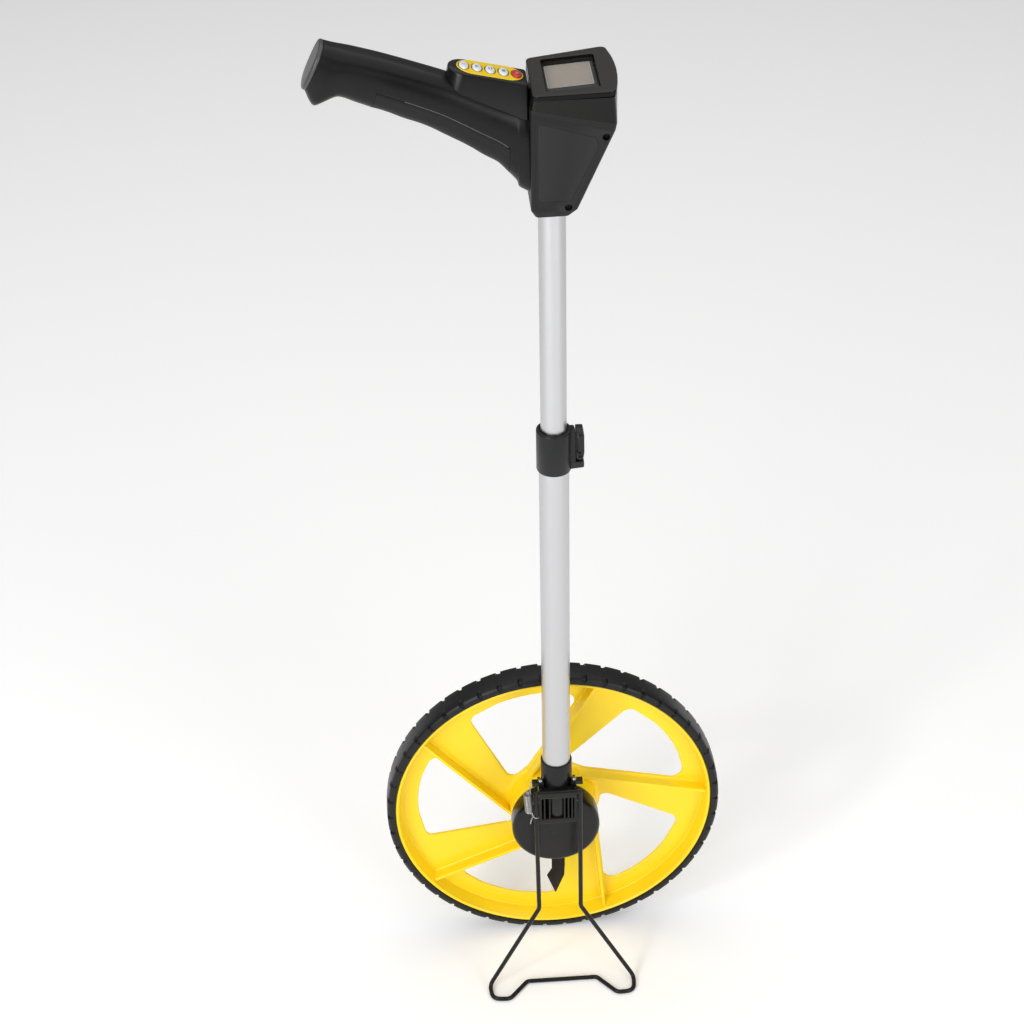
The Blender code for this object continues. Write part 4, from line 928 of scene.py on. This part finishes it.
def screws():
    for name, side in (("left", -1.0), ("right", 1.0)):
        centre = (side * WING_SCREW[0], WING_SCREW[1])
        cross_screw("wing_screw_" + name, centre, "Z", WING_TOP + 2.4, 1.0, (2.3, 2.1), 1.2, 7.9,
                    "frame", "bracket_screw_" + name, SPRING_STEEL)
    # The head's screws take the near-black steel as painted shade in their deep recesses.
    for name, centre, face in (("upper", UPPER_SCREW, UPPER_SCREW_FACE),
                               ("lower", LOWER_SCREW, LOWER_SCREW_FACE)):
        cross_screw("shell_screw_" + name, centre, "Y", face, -1.0, (2.5, 1.8), 1.2, 12.8,
                    "upper_pole", "head_screw_" + name, DARK_STEEL_AND_SHADE)


# ---------------------------------------------------------------- pole

def tubes():
    for name, node_name, body, (outer, bore, bottom, top) in (
            ("pole_lower", "lower_tube", "frame", LOWER_TUBE),
            ("pole_upper", "upper_tube", "upper_pole", UPPER_TUBE)):
        profile = [(bore, bottom), (outer - 0.25, bottom), (outer, bottom + 0.25), (outer, top - 0.25),
                   (outer - 0.25, top), (bore, top)]
        keep(turned(name, profile, "Z", (0.0, POLE_Y), 128), body, ALUMINIUM, "aluminium", node_name)


def clamp():
    """Collar with its lug, ledge and rail, then the lever and the pin it turns on."""
    centre = (0.0, POLE_Y)
    grip = LOWER_TUBE[0] + GAP
    neck = UPPER_TUBE[0] + GAP
    tube_top = LOWER_TUBE[3] + GAP
    blank = grip - 1.0
    profile = [(blank, COLLAR_BOTTOM), (COLLAR_RADIUS - 1.0, COLLAR_BOTTOM),
               (COLLAR_RADIUS - 0.3, COLLAR_BOTTOM + 0.5), (COLLAR_RADIUS, COLLAR_BOTTOM + 1.5)]
    profile += arc((COLLAR_RADIUS - 1.2, COLLAR_TOP - 1.2), 1.2, 0.0, 90.0, 6)
    profile += [(neck + 1.1, COLLAR_TOP), (neck + 0.7, COLLAR_TOP - 0.4), (neck + 0.7, COLLAR_TOP - 1.6),
                (neck, COLLAR_TOP - 1.8), (neck, tube_top - 2.0), (blank, tube_top - 2.0)]
    collar = turned("clamp_ring", profile, "Z", centre, 96)
    near, far = POLE_Y - 6.2, POLE_Y + 6.2
    lug = rounded([(13.9, 575.1, 0.6), (24.8, 576.2, 0.8), (24.8, 581.6, 0.8), (24.0, 590.0, 1.2),
                   (13.9, 590.0, 0.6)], 4)
    join(collar, prism("lug", lug, "Y", POLE_Y - 2.6, POLE_Y + 2.6, 0.3))
    ledge = rounded([(13.4, 574.7, 0.7), (24.9, 575.9, 1.2), (24.9, 581.7, 0.8), (13.4, 581.7, 0.7)], 4)
    join(collar, prism("ledge", ledge, "Y", near - 0.2, far + 0.2, 0.45))
    rail = rounded([(12.6, 580.4, 0.7), (17.8, 580.4, 0.7), (17.8, 611.0, 2.0), (12.6, 611.0, 0.7)], 5)
    join(collar, prism("rail", rail, "Y", near, far, 0.5))
    cut(collar, rod("bore", [(grip, 560.0), (grip, tube_top)], "Z", centre, 96))
    cut(collar, rod("neck", [(neck, tube_top - 1.0), (neck, COLLAR_TOP - 1.7)], "Z", centre, 96))
    cut(collar, box("window", (5.0, 25.0), (POLE_Y - 3.3, POLE_Y + 3.3), (602.0, 609.6)))
    cut(collar, rod("pin_hole", [(1.5, POLE_Y - 9.0), (1.5, POLE_Y + 9.0)], "Y", (LEVER_X, LEVER_Z), 32))
    keep(collar, "frame", CLAMP_BLACK, "black_plastic", "clamp_collar")
    foot = [math.radians(180.0 + 11.25 * i) for i in range(17)]
    corners = [(LEVER_X + 3.2 * math.cos(t), LEVER_Z + 3.6 * math.sin(t), 0.0) for t in foot]
    corners += [(25.2, LEVER_Z + 4.0, 0.0), (25.0, 607.5, 4.0), (24.4, 611.4, 1.4), (18.2, 611.4, 0.8)]
    outline = rounded(corners, 5)
    lever = prism("lever_arm", outline, "Y", POLE_Y - 6.3, POLE_Y + 6.3, 0.7)
    cut(lever, box("fork", (10.0, 30.0), (POLE_Y - 2.9, POLE_Y + 2.9), (575.0, 594.5)))
    cut(lever, rod("hole", [(1.5, POLE_Y - 9.0), (1.5, POLE_Y + 9.0)], "Y", (LEVER_X, LEVER_Z), 32))
    side_slot = rounded([(18.9, 605.5, 0.3), (18.9, 590.5, 2.6), (22.6, 589.4, 0.3), (22.6, 590.6, 0.3),
                         (20.0, 591.6, 1.4), (20.0, 605.5, 0.3)], 5)
    cut(lever, prism("slot", side_slot, "Y", POLE_Y - 7.5, POLE_Y - 4.3))
    dimple = [(1.3, POLE_Y - 7.5), (1.3, POLE_Y - 5.2), (0.6, POLE_Y - 4.8)]
    cut(lever, rod("dimple", dimple, "Y", (22.0, 608.4), 32))
    groove = rounded_box(24.9, 26.0, POLE_Y - 4.6, POLE_Y + 4.6, 0.4, 3)
    for level in range(4):
        height = 596.5 + 3.0 * level
        cut(lever, prism("groove", groove, "Z", height, height + 1.2))
    keep(lever, "lever", CLAMP_BLACK, "black_plastic", "clamp_lever")
    pin = [(0.9, POLE_Y - 6.3), (1.2, POLE_Y - 6.0), (1.2, POLE_Y + 6.0), (0.9, POLE_Y + 6.3)]
    keep(rod("hinge_pin", pin, "Y", (LEVER_X, LEVER_Z), 40), "frame", DARK_STEEL_AND_SHADE, "steel", "lever_pin")


# ---------------------------------------------------------------- head

def head_path(section, inset, side):
    """Half of a head section from the back seam round to the nose seam."""
    z_back, z_front, back, corner, front, half_back, half_front = section
    back, corner, front = back + inset, corner - inset, front - inset
    half_back, half_front = half_back - inset, half_front - inset
    bend = HEAD_BEND if inset == 0.0 else INNER_BEND
    edge = 0.5 * GAP
    path = [(back, edge), (back, 0.5 * half_back)]
    path += arc((back + bend, half_back - bend), bend, 180.0, 90.0, 8)
    path += [(back + 0.5 * (corner - back), 0.5 * (half_back + half_front))]
    path += arc((corner - bend, half_front - bend), bend, 90.0, 0.0, 8)
    straight = half_front - bend
    for step in range(1, 9):
        across = straight * (1.0 - step / 8.0)
        path.append((corner + (front - corner) * (1.0 - (across / straight) ** 2), max(across, edge)))
    run = section[4] - section[2]
    points = []
    for x, half in path:
        share = (x - section[2]) / run
        points.append((x, POLE_Y + side * half, z_back + (z_front - z_back) * share))
    return points


def mix(first, second, share):
    return tuple(a + (b - a) * share for a, b in zip(first, second))


def softened(sections, reach):
    """Sections with each inner one replaced by a short curve that starts and ends reach mm from it."""
    result = [sections[0]]
    for before, here, after in zip(sections, sections[1:], sections[2:]):
        below = max(abs(here[0] - before[0]), abs(here[1] - before[1]))
        above = max(abs(after[0] - here[0]), abs(after[1] - here[1]))
        start = mix(here, before, min(reach / below, 0.45))
        end = mix(here, after, min(reach / above, 0.45))
        for step in range(5):
            t = step / 4.0
            first = mix(start, here, t)
            result.append(mix(first, mix(here, end, t), t))
    result.append(sections[-1])
    return result


def head_shell(name, side):
    rings = []
    for section in softened(HEAD_SECTIONS, CREASE_REACH):
        rings.append(head_path(section, 0.0, side) + head_path(section, SHELL, side)[::-1])
    return solid(name, *loft(rings))


def door_outline(grow):
    return rounded([(-12.2 - grow, 833.0 - grow, 3.0), (12.6 + grow, 833.0 - grow, 3.0),
                    (33.6 + grow, 878.5, 4.0), (32.0 + grow, 886.0 + grow, 2.0),
                    (-12.2 - grow, 899.0 + grow, 3.0)], 8)


def polish_and_shade_collar(shell):
    """Give the flared collar above the head's crease its smoother, glossier finish, painted darker as painted
    shade on the overhanging band.
    """
    shell.data.materials.append(PAINTED_SHADE_BLACK)
    foot = HEAD_SECTIONS[3]
    for face in shell.data.polygons:
        spot = (face.center - ORIGIN) / MM
        share = (spot.x - foot[2]) / (foot[4] - foot[2])
        if spot.z > foot[0] + (foot[1] - foot[0]) * share:
            face.material_index = 1


def head():
    near = head_shell("head_half_near", -1.0)
    far = head_shell("head_half_far", 1.0)
    door = head_shell("door_panel", -1.0)
    y_far = POLE_Y - 12.0
    combine(door, prism("keep", door_outline(0.0), "Y", SHELL_CUT_START, y_far), "INTERSECT")
    cut(near, prism("tool", door_outline(DOOR_GAP), "Y", SHELL_CUT_START, y_far))
    for centre in (UPPER_SCREW, LOWER_SCREW):
        cut(near, rod("hole", [(2.9, SHELL_CUT_START), (2.9, y_far)], "Y", centre, 40))
    for shell, node_name in ((near, "head_shell_near"), (far, "head_shell_far")):
        keep(shell, "upper_pole", SHELL_BLACK, "black_plastic", node_name)
        polish_and_shade_collar(shell)
    keep(door, "upper_pole", SHELL_BLACK, "black_plastic", "battery_door")


def on_display(x, y, height):
    """A point above the bezel's sloping top face, with y measured from the pole's plane."""
    return x, POLE_Y + y, BEZEL_TOP + (x - BEZEL_LEFT) * BEZEL_SLOPE + height


def display_loops(levels):
    """Loops over the display's slope through (outline, height) levels."""
    return [[on_display(x, y, height) for x, y in outline] for outline, height in levels]


def bezel_outline(inset):
    """Outer edge of the display bezel: narrower at the back, bowed at the front."""
    left, right, bow = BEZEL_LEFT + inset, 44.6 - inset, 49.2 - inset
    near_back, near_front = 35.2 - inset, 41.8 - inset
    nose = [(-24.0, 0.34), (-12.0, 0.08), (0.0, 0.0), (12.0, 0.08), (24.0, 0.34)]
    corners = [(left, -near_back, 4.0), (right, -near_front, 5.0)]
    corners += [(bow + (right - bow) * share, y, 0.0) for y, share in nose]
    corners += [(right, near_front, 5.0), (left, near_back, 4.0), (left, 0.0, 0.0)]
    return rounded(corners, 8)


def window_outline(inset):
    """Matches bezel_outline point for point, so that the two edges bridge cleanly."""
    left, right, half = -5.6 + inset, 34.6 - inset, 29.6 - inset
    corners = [(left, -half, 2.0), (right, -half, 2.0)]
    corners += [(right, y, 0.0) for y in (-20.0, -10.0, 0.0, 10.0, 20.0)]
    corners += [(right, half, 2.0), (left, half, 2.0), (left, 0.0, 0.0)]
    return rounded(corners, 8)


def display():
    levels = [(bezel_outline(0.0), -4.4), (bezel_outline(0.0), -1.5), (bezel_outline(0.12), -0.85),
              (bezel_outline(0.45), -0.32), (bezel_outline(1.1), -0.05), (bezel_outline(1.6), 0.0),
              (window_outline(-1.3), 0.0), (window_outline(-0.5), -0.12), (window_outline(-0.1), -0.5),
              (window_outline(0.0), -1.2), (window_outline(0.0), -4.4)]
    bezel = flat(solid("bezel_frame", *band(display_loops(levels))))
    keep(bezel, "upper_pole", BEZEL_BLACK, "black_plastic", "display_bezel")
    # The bezel's faces that do not face up take the darker copy of the black, as painted shade on its sides.
    bezel.data.materials.append(PAINTED_SHADE_BLACK)
    for face in bezel.data.polygons:
        if face.normal.z < 0.5:
            face.material_index = 1
    pane = rounded_box(-5.2, 34.2, -29.2, 29.2, 1.8)
    levels = [(grown(pane, 0.0), -3.8), (grown(pane, 0.0), -2.7), (grown(pane, -0.3), -2.4)]
    keep(solid("window_pane", *loft(display_loops(levels))), "upper_pole", WINDOW, "window", "display_window")
    module = rounded_box(-4.6, 33.6, -27.0, 27.0, 1.0)
    field = rounded_box(-2.4, 30.4, -13.0, 25.8, 0.8)
    border = grown(field, 1.1)
    loops = [(module, -9.2), (module, -5.0), (grown(module, -0.2), -4.8), (grown(border, 0.3), -4.8),
             (grown(border, 0.2), -5.1), (grown(border, 0.2), -9.2)]
    keep(solid("lcd_frame", *band(display_loops(loops))), "upper_pole", INNER_BLACK, "lcd", "lcd_module")
    loops = [(border, -9.2), (border, -5.0), (grown(field, 0.1), -5.0), (grown(field, 0.1), -9.2)]
    keep(solid("lcd_edge", *band(display_loops(loops))), "upper_pole", LCD_BORDER, "lcd")
    inner = grown(field, -0.05)
    levels = [(inner, -9.1), (inner, -5.0)]
    keep(solid("lcd_field", *loft(display_loops(levels))), "upper_pole", LCD_FIELD, "lcd")


# ---------------------------------------------------------------- handle

def handle_point(section, angle, inset):
    """A point on a handle section: 90 degrees is the top, 0 the side and -90 the underside."""
    x_top, z_top, x_low, z_low, half_width = section
    top, low = Vector((x_top, z_top)), Vector((x_low, z_low))
    middle = (top + low) / 2.0
    upward = (top - low).normalized()
    half_height = (top - low).length / 2.0 - inset
    turn = math.radians(angle)
    power = 2.0 / SECTION_POWER
    across = math.copysign(abs(math.cos(turn)) ** power, math.cos(turn)) * (half_width - inset)
    rise = math.copysign(abs(math.sin(turn)) ** power, math.sin(turn)) * half_height
    return middle.x + upward.x * rise, across, middle.y + upward.y * rise


def station(position):
    """A handle section at a fractional index, on a curve through the listed sections."""
    last = len(HANDLE_SECTIONS) - 1
    index = min(int(position), last - 1)
    t = position - index
    before = HANDLE_SECTIONS[max(index - 1, 0)]
    first, second = HANDLE_SECTIONS[index], HANDLE_SECTIONS[index + 1]
    after = HANDLE_SECTIONS[min(index + 2, last)]
    slack = 0.36
    result = []
    for a, b, c, d in zip(before, first, second, after):
        leave, arrive = (c - a) * slack, (d - b) * slack
        result.append(b * (2 * t ** 3 - 3 * t ** 2 + 1) + leave * (t ** 3 - 2 * t ** 2 + t)
                      + c * (3 * t ** 2 - 2 * t ** 3) + arrive * (t ** 3 - t ** 2))
    return tuple(result)


def handle_ring(section, start, end, side, steps, pinch=None):
    """Closed ring of a shell wall between two angles, outside first and then back inside."""
    angles = [start + (end - start) * i / steps for i in range(steps + 1)]
    ring = []
    for inset, order in ((0.0, angles), (SHELL, angles[::-1])):
        for angle in order:
            sunk = pinch(angle) if pinch and inset == 0.0 else 0.0
            x, across, z = handle_point(section, angle, inset + sunk)
            if side != 0.0:
                across = side * max(across, 0.5 * GAP)
            ring.append((x, POLE_Y + across, z))
    return ring


def grip_pocket():
    """The space under the handle that its soft grip fills, with a small gap all round."""
    count = 24
    start, end = GRIP_START - 0.02, GRIP_END + 0.02
    angles = [GRIP_ANGLE - (180.0 + 2.0 * GRIP_ANGLE) * i / 30 for i in range(31)]
    rings = []
    for step in range(count + 1):
        section = station(start + (end - start) * step / count)
        rings.append([(x, POLE_Y + across, z) for x, across, z in
                      (handle_point(section, angle, -6.0) for angle in angles)])
    return solid("pocket", *loft(rings))


def handle():
    """Two half shells, the soft grip let into their underside, and the end plate."""
    fine = 6
    last = len(HANDLE_SECTIONS) - 1
    for name, side in (("near", -1.0), ("far", 1.0)):
        rings = [handle_ring(station(i / fine), 90.0, -90.0, side, 36) for i in range(last * fine + 1)]
        shell = solid("handle_half_" + name, *loft(rings))
        cut(shell, grip_pocket())
        cut(shell, pod_body("tool", [(GAP, -POD_DEPTH - 3.0), (GAP, 12.0)]))
        keep(shell, "upper_pole", HANDLE_BLACK, "satin_black", "handle_shell_" + name)
    rings = []
    count = 96
    for i in range(count + 1):
        position = GRIP_START + (GRIP_END - GRIP_START) * i / count
        wave = 0.5 - 0.5 * math.cos(2.0 * math.pi * 4.0 * i / count)

        def pinch(angle, wave=wave):
            below = max(0.0, (-angle - 35.0) / 55.0) if angle > -90.0 else max(0.0, (angle + 145.0) / 55.0)
            return 0.9 * wave * min(1.0, below) - 0.5 * math.exp(-((abs(angle + 90.0) - 81.0) / 4.0) ** 2)

        section = station(position)
        rings.append(handle_ring(section, GRIP_ANGLE - 2.0, -178.0 - GRIP_ANGLE, 0.0, 72, pinch))
    keep(solid("grip_pad", *loft(rings)), "upper_pole", GRIP_RUBBER, "grip_rubber", "grip_insert")
    # Thin beads along the grip's upper edges; their pale grey is a painted highlight for the light caught
    # along the edge of the grip.
    highlight_beads = []
    for angle in (GRIP_ANGLE - 1.0, -179.0 - GRIP_ANGLE):
        path = []
        for i in range(count + 1):
            section = station(GRIP_START + 1.0 + (GRIP_END - GRIP_START - 1.1) * i / count)
            x, across, z = handle_point(section, angle, -0.1)
            path.append((x, POLE_Y + across, z))
        highlight_beads.append(wire("highlight_bead", path, 0.3, 2))
    keep(gather("grip_highlight_beads", highlight_beads), "upper_pole", HIGHLIGHT_BEAD, "grip_rubber")
    x_top, z_top, x_low, z_low, half_width = HANDLE_SECTIONS[0]
    along = Vector((x_top - x_low, z_top - z_low)).normalized()
    outward = Vector((-along.y, along.x))
    rings = []
    plate = ((GAP, 0.15), (GAP + 0.25, 0.0), (1.6, 0.0), (2.4, 0.25), (2.95, 0.8), (3.2, 1.7), (3.3, 4.5))
    for reach, inset in plate:
        moved = (x_top + outward.x * reach, z_top + outward.y * reach,
                 x_low + outward.x * reach, z_low + outward.y * reach, half_width)
        points = [handle_point(moved, 360.0 * i / 96, inset) for i in range(96)]
        rings.append([(x, POLE_Y + across, z) for x, across, z in points])
    keep(solid("end_plate", *loft(rings)), "upper_pole", CAP_GREY, "grey_plastic", "handle_end_cap")


# ---------------------------------------------------------------- keypad

def on_pod(u, v, w):
    """A point in the keypad's axes: u along its slope, v across the handle, w out of its face."""
    tilt = math.radians(POD_ANGLE)
    x = POD_X + u * math.cos(tilt) + w * math.sin(tilt)
    z = POD_Z - u * math.sin(tilt) + w * math.cos(tilt)
    return x, POLE_Y + v, z


def pod_outline(grow, w):
    """The pod's outline at a height: its front end stays upright, against the head's back."""
    tilt = math.radians(POD_ANGLE)
    front = (HANDLE_FRONT - POD_X - w * math.sin(tilt)) / math.cos(tilt)
    left, right, half = POD_LEFT - grow, front + grow, POD_HALF_WIDTH + grow
    corners = [(left, -half, 13.0), (right, -half, 1.5), (right, half, 1.5), (left, half, 13.0)]
    return rounded(corners, 16)


def pod_body(name, levels):
    """The pod's own shape through (growth, height) levels."""
    return pod_loft(name, [(pod_outline(grow, w), w) for grow, w in levels])


def pod_loft(name, levels):
    """A body in the keypad's axes through (outline, height) levels."""
    return solid(name, *loft([[on_pod(u, v, w) for u, v in outline] for outline, w in levels]))


def button_outline(index, grow):
    centre = BUTTON_FIRST + index * BUTTON_PITCH
    wide, long = BUTTON_HALF[0] + grow, BUTTON_HALF[1] + grow
    return circle((centre, 0.0), wide, 48, long / wide)


def keypad():
    """Pod with a rounded top edge, its label, an outline round each button, and the domed buttons."""
    pod = pod_body("pod_shell", [(0.0, -POD_DEPTH), (0.0, -2.0), (-0.2, -1.1), (-0.7, -0.35), (-1.5, 0.0)])
    cut(pod, pod_body("hollow", [(-2.0, -POD_DEPTH - 5.0), (-2.0, -2.0)]))
    plate = grown(stadium(-23.9, 28.3, 12.8), -0.6)
    levels = [(plate, GAP), (plate, LABEL_TOP - 0.15), (grown(plate, -0.2), LABEL_TOP)]
    label = pod_loft("label_plate", levels)
    for index in range(BUTTONS):
        hole = [(button_outline(index, GAP), -5.0), (button_outline(index, GAP), 5.0)]
        cut(pod, pod_loft("hole", hole))
        cut(label, pod_loft("hole", hole))
    keep(pod, "upper_pole", GLOSS_BLACK, "black_plastic", "keypad_pod")
    keep(label, "upper_pole", LABEL_YELLOW, "yellow_plastic", "keypad_label")
    for index in range(BUTTONS):
        number = str(index + 1)
        levels = [(button_outline(index, grow), w) for grow, w in (
            (0.7, -3.2), (0.7, -2.3), (0.0, -2.3), (0.0, 0.95), (-0.15, 1.3), (-0.5, 1.56), (-1.1, 1.73),
            (-1.9, 1.84), (-2.8, 1.9))]
        cap = pod_loft("cap_" + number, levels)
        finish, slot = (RED, "red_plastic") if index == BUTTONS - 1 else (WHITE, "white_plastic")
        keep(cap, "key_" + number, finish, slot, "button_" + number)
        inner, outer = button_outline(index, 0.45), button_outline(index, 0.95)
        ring = [(inner, LABEL_TOP - 0.1), (inner, LABEL_TOP + 0.06),
                (outer, LABEL_TOP + 0.06), (outer, LABEL_TOP - 0.1)]
        loops = [[on_pod(u, v, w) for u, v in outline] for outline, w in ring]
        keep(solid("key_outline_" + number, *band(loops)), "upper_pole", OUTLINE, "black_plastic")
        print_mark(index, number)


def print_mark(index, number):
    """A small generic mark printed on each button."""
    u = BUTTON_FIRST + index * BUTTON_PITCH
    low, high = 1.8, 1.95
    marks = [
        [[(u - 1.5, -0.4), (u + 1.5, -0.4), (u + 1.5, 0.4), (u - 1.5, 0.4)]],
        [[(u - 1.3, -2.2), (u + 1.4, 0.0), (u - 1.3, 2.2)]],
        [[(u - 1.4, -2.0), (u - 0.5, -2.0), (u - 0.5, 2.0), (u - 1.4, 2.0)],
         [(u + 0.5, -2.0), (u + 1.4, -2.0), (u + 1.4, 2.0), (u + 0.5, 2.0)]],
        [[(u - 1.3, -1.8), (u + 1.3, -1.8), (u + 1.3, 1.8), (u - 1.3, 1.8)]],
        [circle((u, 0.0), 1.3, 24, 1.4)],
    ][index]
    parts = [pod_loft("mark", [(outline, low), (outline, high)]) for outline in marks]
    keep(gather("print_" + number, parts), "key_" + number, MARK, "black_plastic")


# ---------------------------------------------------------------- carried-over nodes

def lead():
    """Coiled lead inside the pole, from the sensor board up into the head."""
    turns, steps, radius = 14, 20, 5.2
    bottom, top = 214.0, 838.0
    front = BOARD_FRONT - 1.6
    path = [Vector((0.0, front, 181.0)), Vector((0.0, front - 0.5, CABLE_ENTRY_Z - 3.0)),
            Vector((0.0, front - 3.0, CABLE_ENTRY_Z)), Vector((0.0, POLE_Y + 4.0, CABLE_ENTRY_Z + 1.0)),
            Vector((0.5, POLE_Y + 1.0, CABLE_ENTRY_Z + 4.0)), Vector((1.5, POLE_Y, CABLE_ENTRY_Z + 9.0))]
    for step in range(turns * steps + 1):
        turn = 2.0 * math.pi * step / steps
        height = bottom + (top - bottom) * step / (turns * steps)
        path.append(Vector((radius * math.cos(turn), POLE_Y + radius * math.sin(turn), height)))
    path += [Vector((1.0, POLE_Y + 2.0, 850.0)), Vector((-2.0, POLE_Y + 6.0, 870.0)),
             Vector((-6.0, POLE_Y + 8.0, 905.0))]
    made = wire("coiled_lead", path, 1.2, 1)
    made.data.materials.append(INNER_BLACK)
    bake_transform(made)
    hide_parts("signal_cable")


def bracket():
    casting = refined("bracket_casting", "stand_bracket", 0.45)
    keep(casting, "frame", GLOSS_BLACK, "black_plastic", "stand_bracket")


def carried_over():
    """Finishes for the nodes whose CAD shape stays."""
    finishes = {
        "housing_cover": INNER_BLACK, "pole_socket": INNER_BLACK, "battery_holder": INNER_BLACK,
        "sensor_board": BOARD, "main_board": BOARD, "keypad_board": BOARD,
        "reed_switch": GLASS_TUBE, "guide_liner": NYLON, "tube_glide": NYLON, "clamp_pad": NYLON,
        "battery_1": SLEEVE, "battery_2": SLEEVE,
    }
    for index in range(4):
        finishes[f"magnet_{index + 1}"] = STEEL
    for name, finish in finishes.items():
        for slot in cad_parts[name].material_slots:
            slot.material = finish


# ---------------------------------------------------------------- studio

def studio():
    """Plain white floor with a faint glow, a wide overhead light, two front lights and a small strip."""
    bpy.context.scene.view_settings.view_transform = "Standard"
    mesh = bpy.data.meshes.new("floor")
    half = 6.0
    mesh.from_pydata([(-half, -half, 0.0), (half, -half, 0.0), (half, half, 0.0), (-half, half, 0.0)], [],
                     [(0, 1, 2, 3)])
    floor = linked("floor", mesh)
    floor.location.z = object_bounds()[0].z - 0.0002
    paper = bpy.data.materials.new("paper")
    paper.use_nodes = True
    shader = paper.node_tree.nodes["Principled BSDF"]
    shader.inputs["Base Color"].default_value = (0.97, 0.97, 0.97, 1.0)
    shader.inputs["Roughness"].default_value = 0.9
    shader.inputs["Emission Color"].default_value = (1.0, 1.0, 1.0, 1.0)
    shader.inputs["Emission Strength"].default_value = 0.16
    mesh.materials.append(paper)
    floor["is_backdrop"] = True
    world = bpy.data.worlds.new("studio")
    world.use_nodes = True
    bpy.context.scene.world = world
    background = world.node_tree.nodes["Background"]
    background.inputs["Color"].default_value = (1.0, 1.0, 1.0, 1.0)
    background.inputs["Strength"].default_value = 0.17
    lights = (
        ("ceiling", (0.0, 0.3, 3.0), (0.0, 0.0, 0.0), 5.0, 75.0),
        ("front_left", (-1.8, -2.6, 1.5), (0.0, 0.0, 0.3), 1.6, 48.0),
        ("front_right", (1.7, -2.6, 1.2), (0.0, 0.0, 0.3), 1.4, 30.0),
        ("strip", (-1.9, -1.7, 2.2), (0.0, 0.0, 0.3), 0.35, 12.0),
    )
    for name, place, aim, size, power in lights:
        data = bpy.data.lights.new(name, "AREA")
        data.shape = "SQUARE"
        data.size = size
        data.energy = power
        lamp = linked(name, data)
        lamp.location = place
        lamp.rotation_euler = (Vector(aim) - Vector(place)).to_track_quat("-Z", "Y").to_euler()


def camera():
    """A long lens looking down on the instrument from its near side."""
    data = bpy.data.cameras.new("camera")
    data.sensor_width = 36.0
    data.lens = LENS
    data.clip_end = 50.0
    made = linked("camera", data)
    yaw, pitch, roll = (math.radians(v) for v in (CAMERA_YAW, CAMERA_PITCH, CAMERA_ROLL))
    ahead = Vector((math.sin(yaw) * math.cos(pitch), math.cos(yaw) * math.cos(pitch), -math.sin(pitch)))
    right = Vector((math.cos(yaw), -math.sin(yaw), 0.0))
    up = right.cross(ahead)
    rolled = right * math.cos(roll) + up * math.sin(roll)
    raised = up * math.cos(roll) - right * math.sin(roll)
    turn = Matrix((rolled, raised, -ahead)).transposed()
    made.matrix_world = Matrix.Translation(at(*CAMERA_PLACE)) @ turn.to_4x4()
    bpy.context.scene.camera = made


def main():
    tyre()
    rim()
    axle_fittings()
    hub()
    pointer()
    bracket()
    lead()
    stand()
    spring()
    screws()
    tubes()
    clamp()
    head()
    display()
    handle()
    keypad()
    carried_over()
    studio()
    camera()


main()
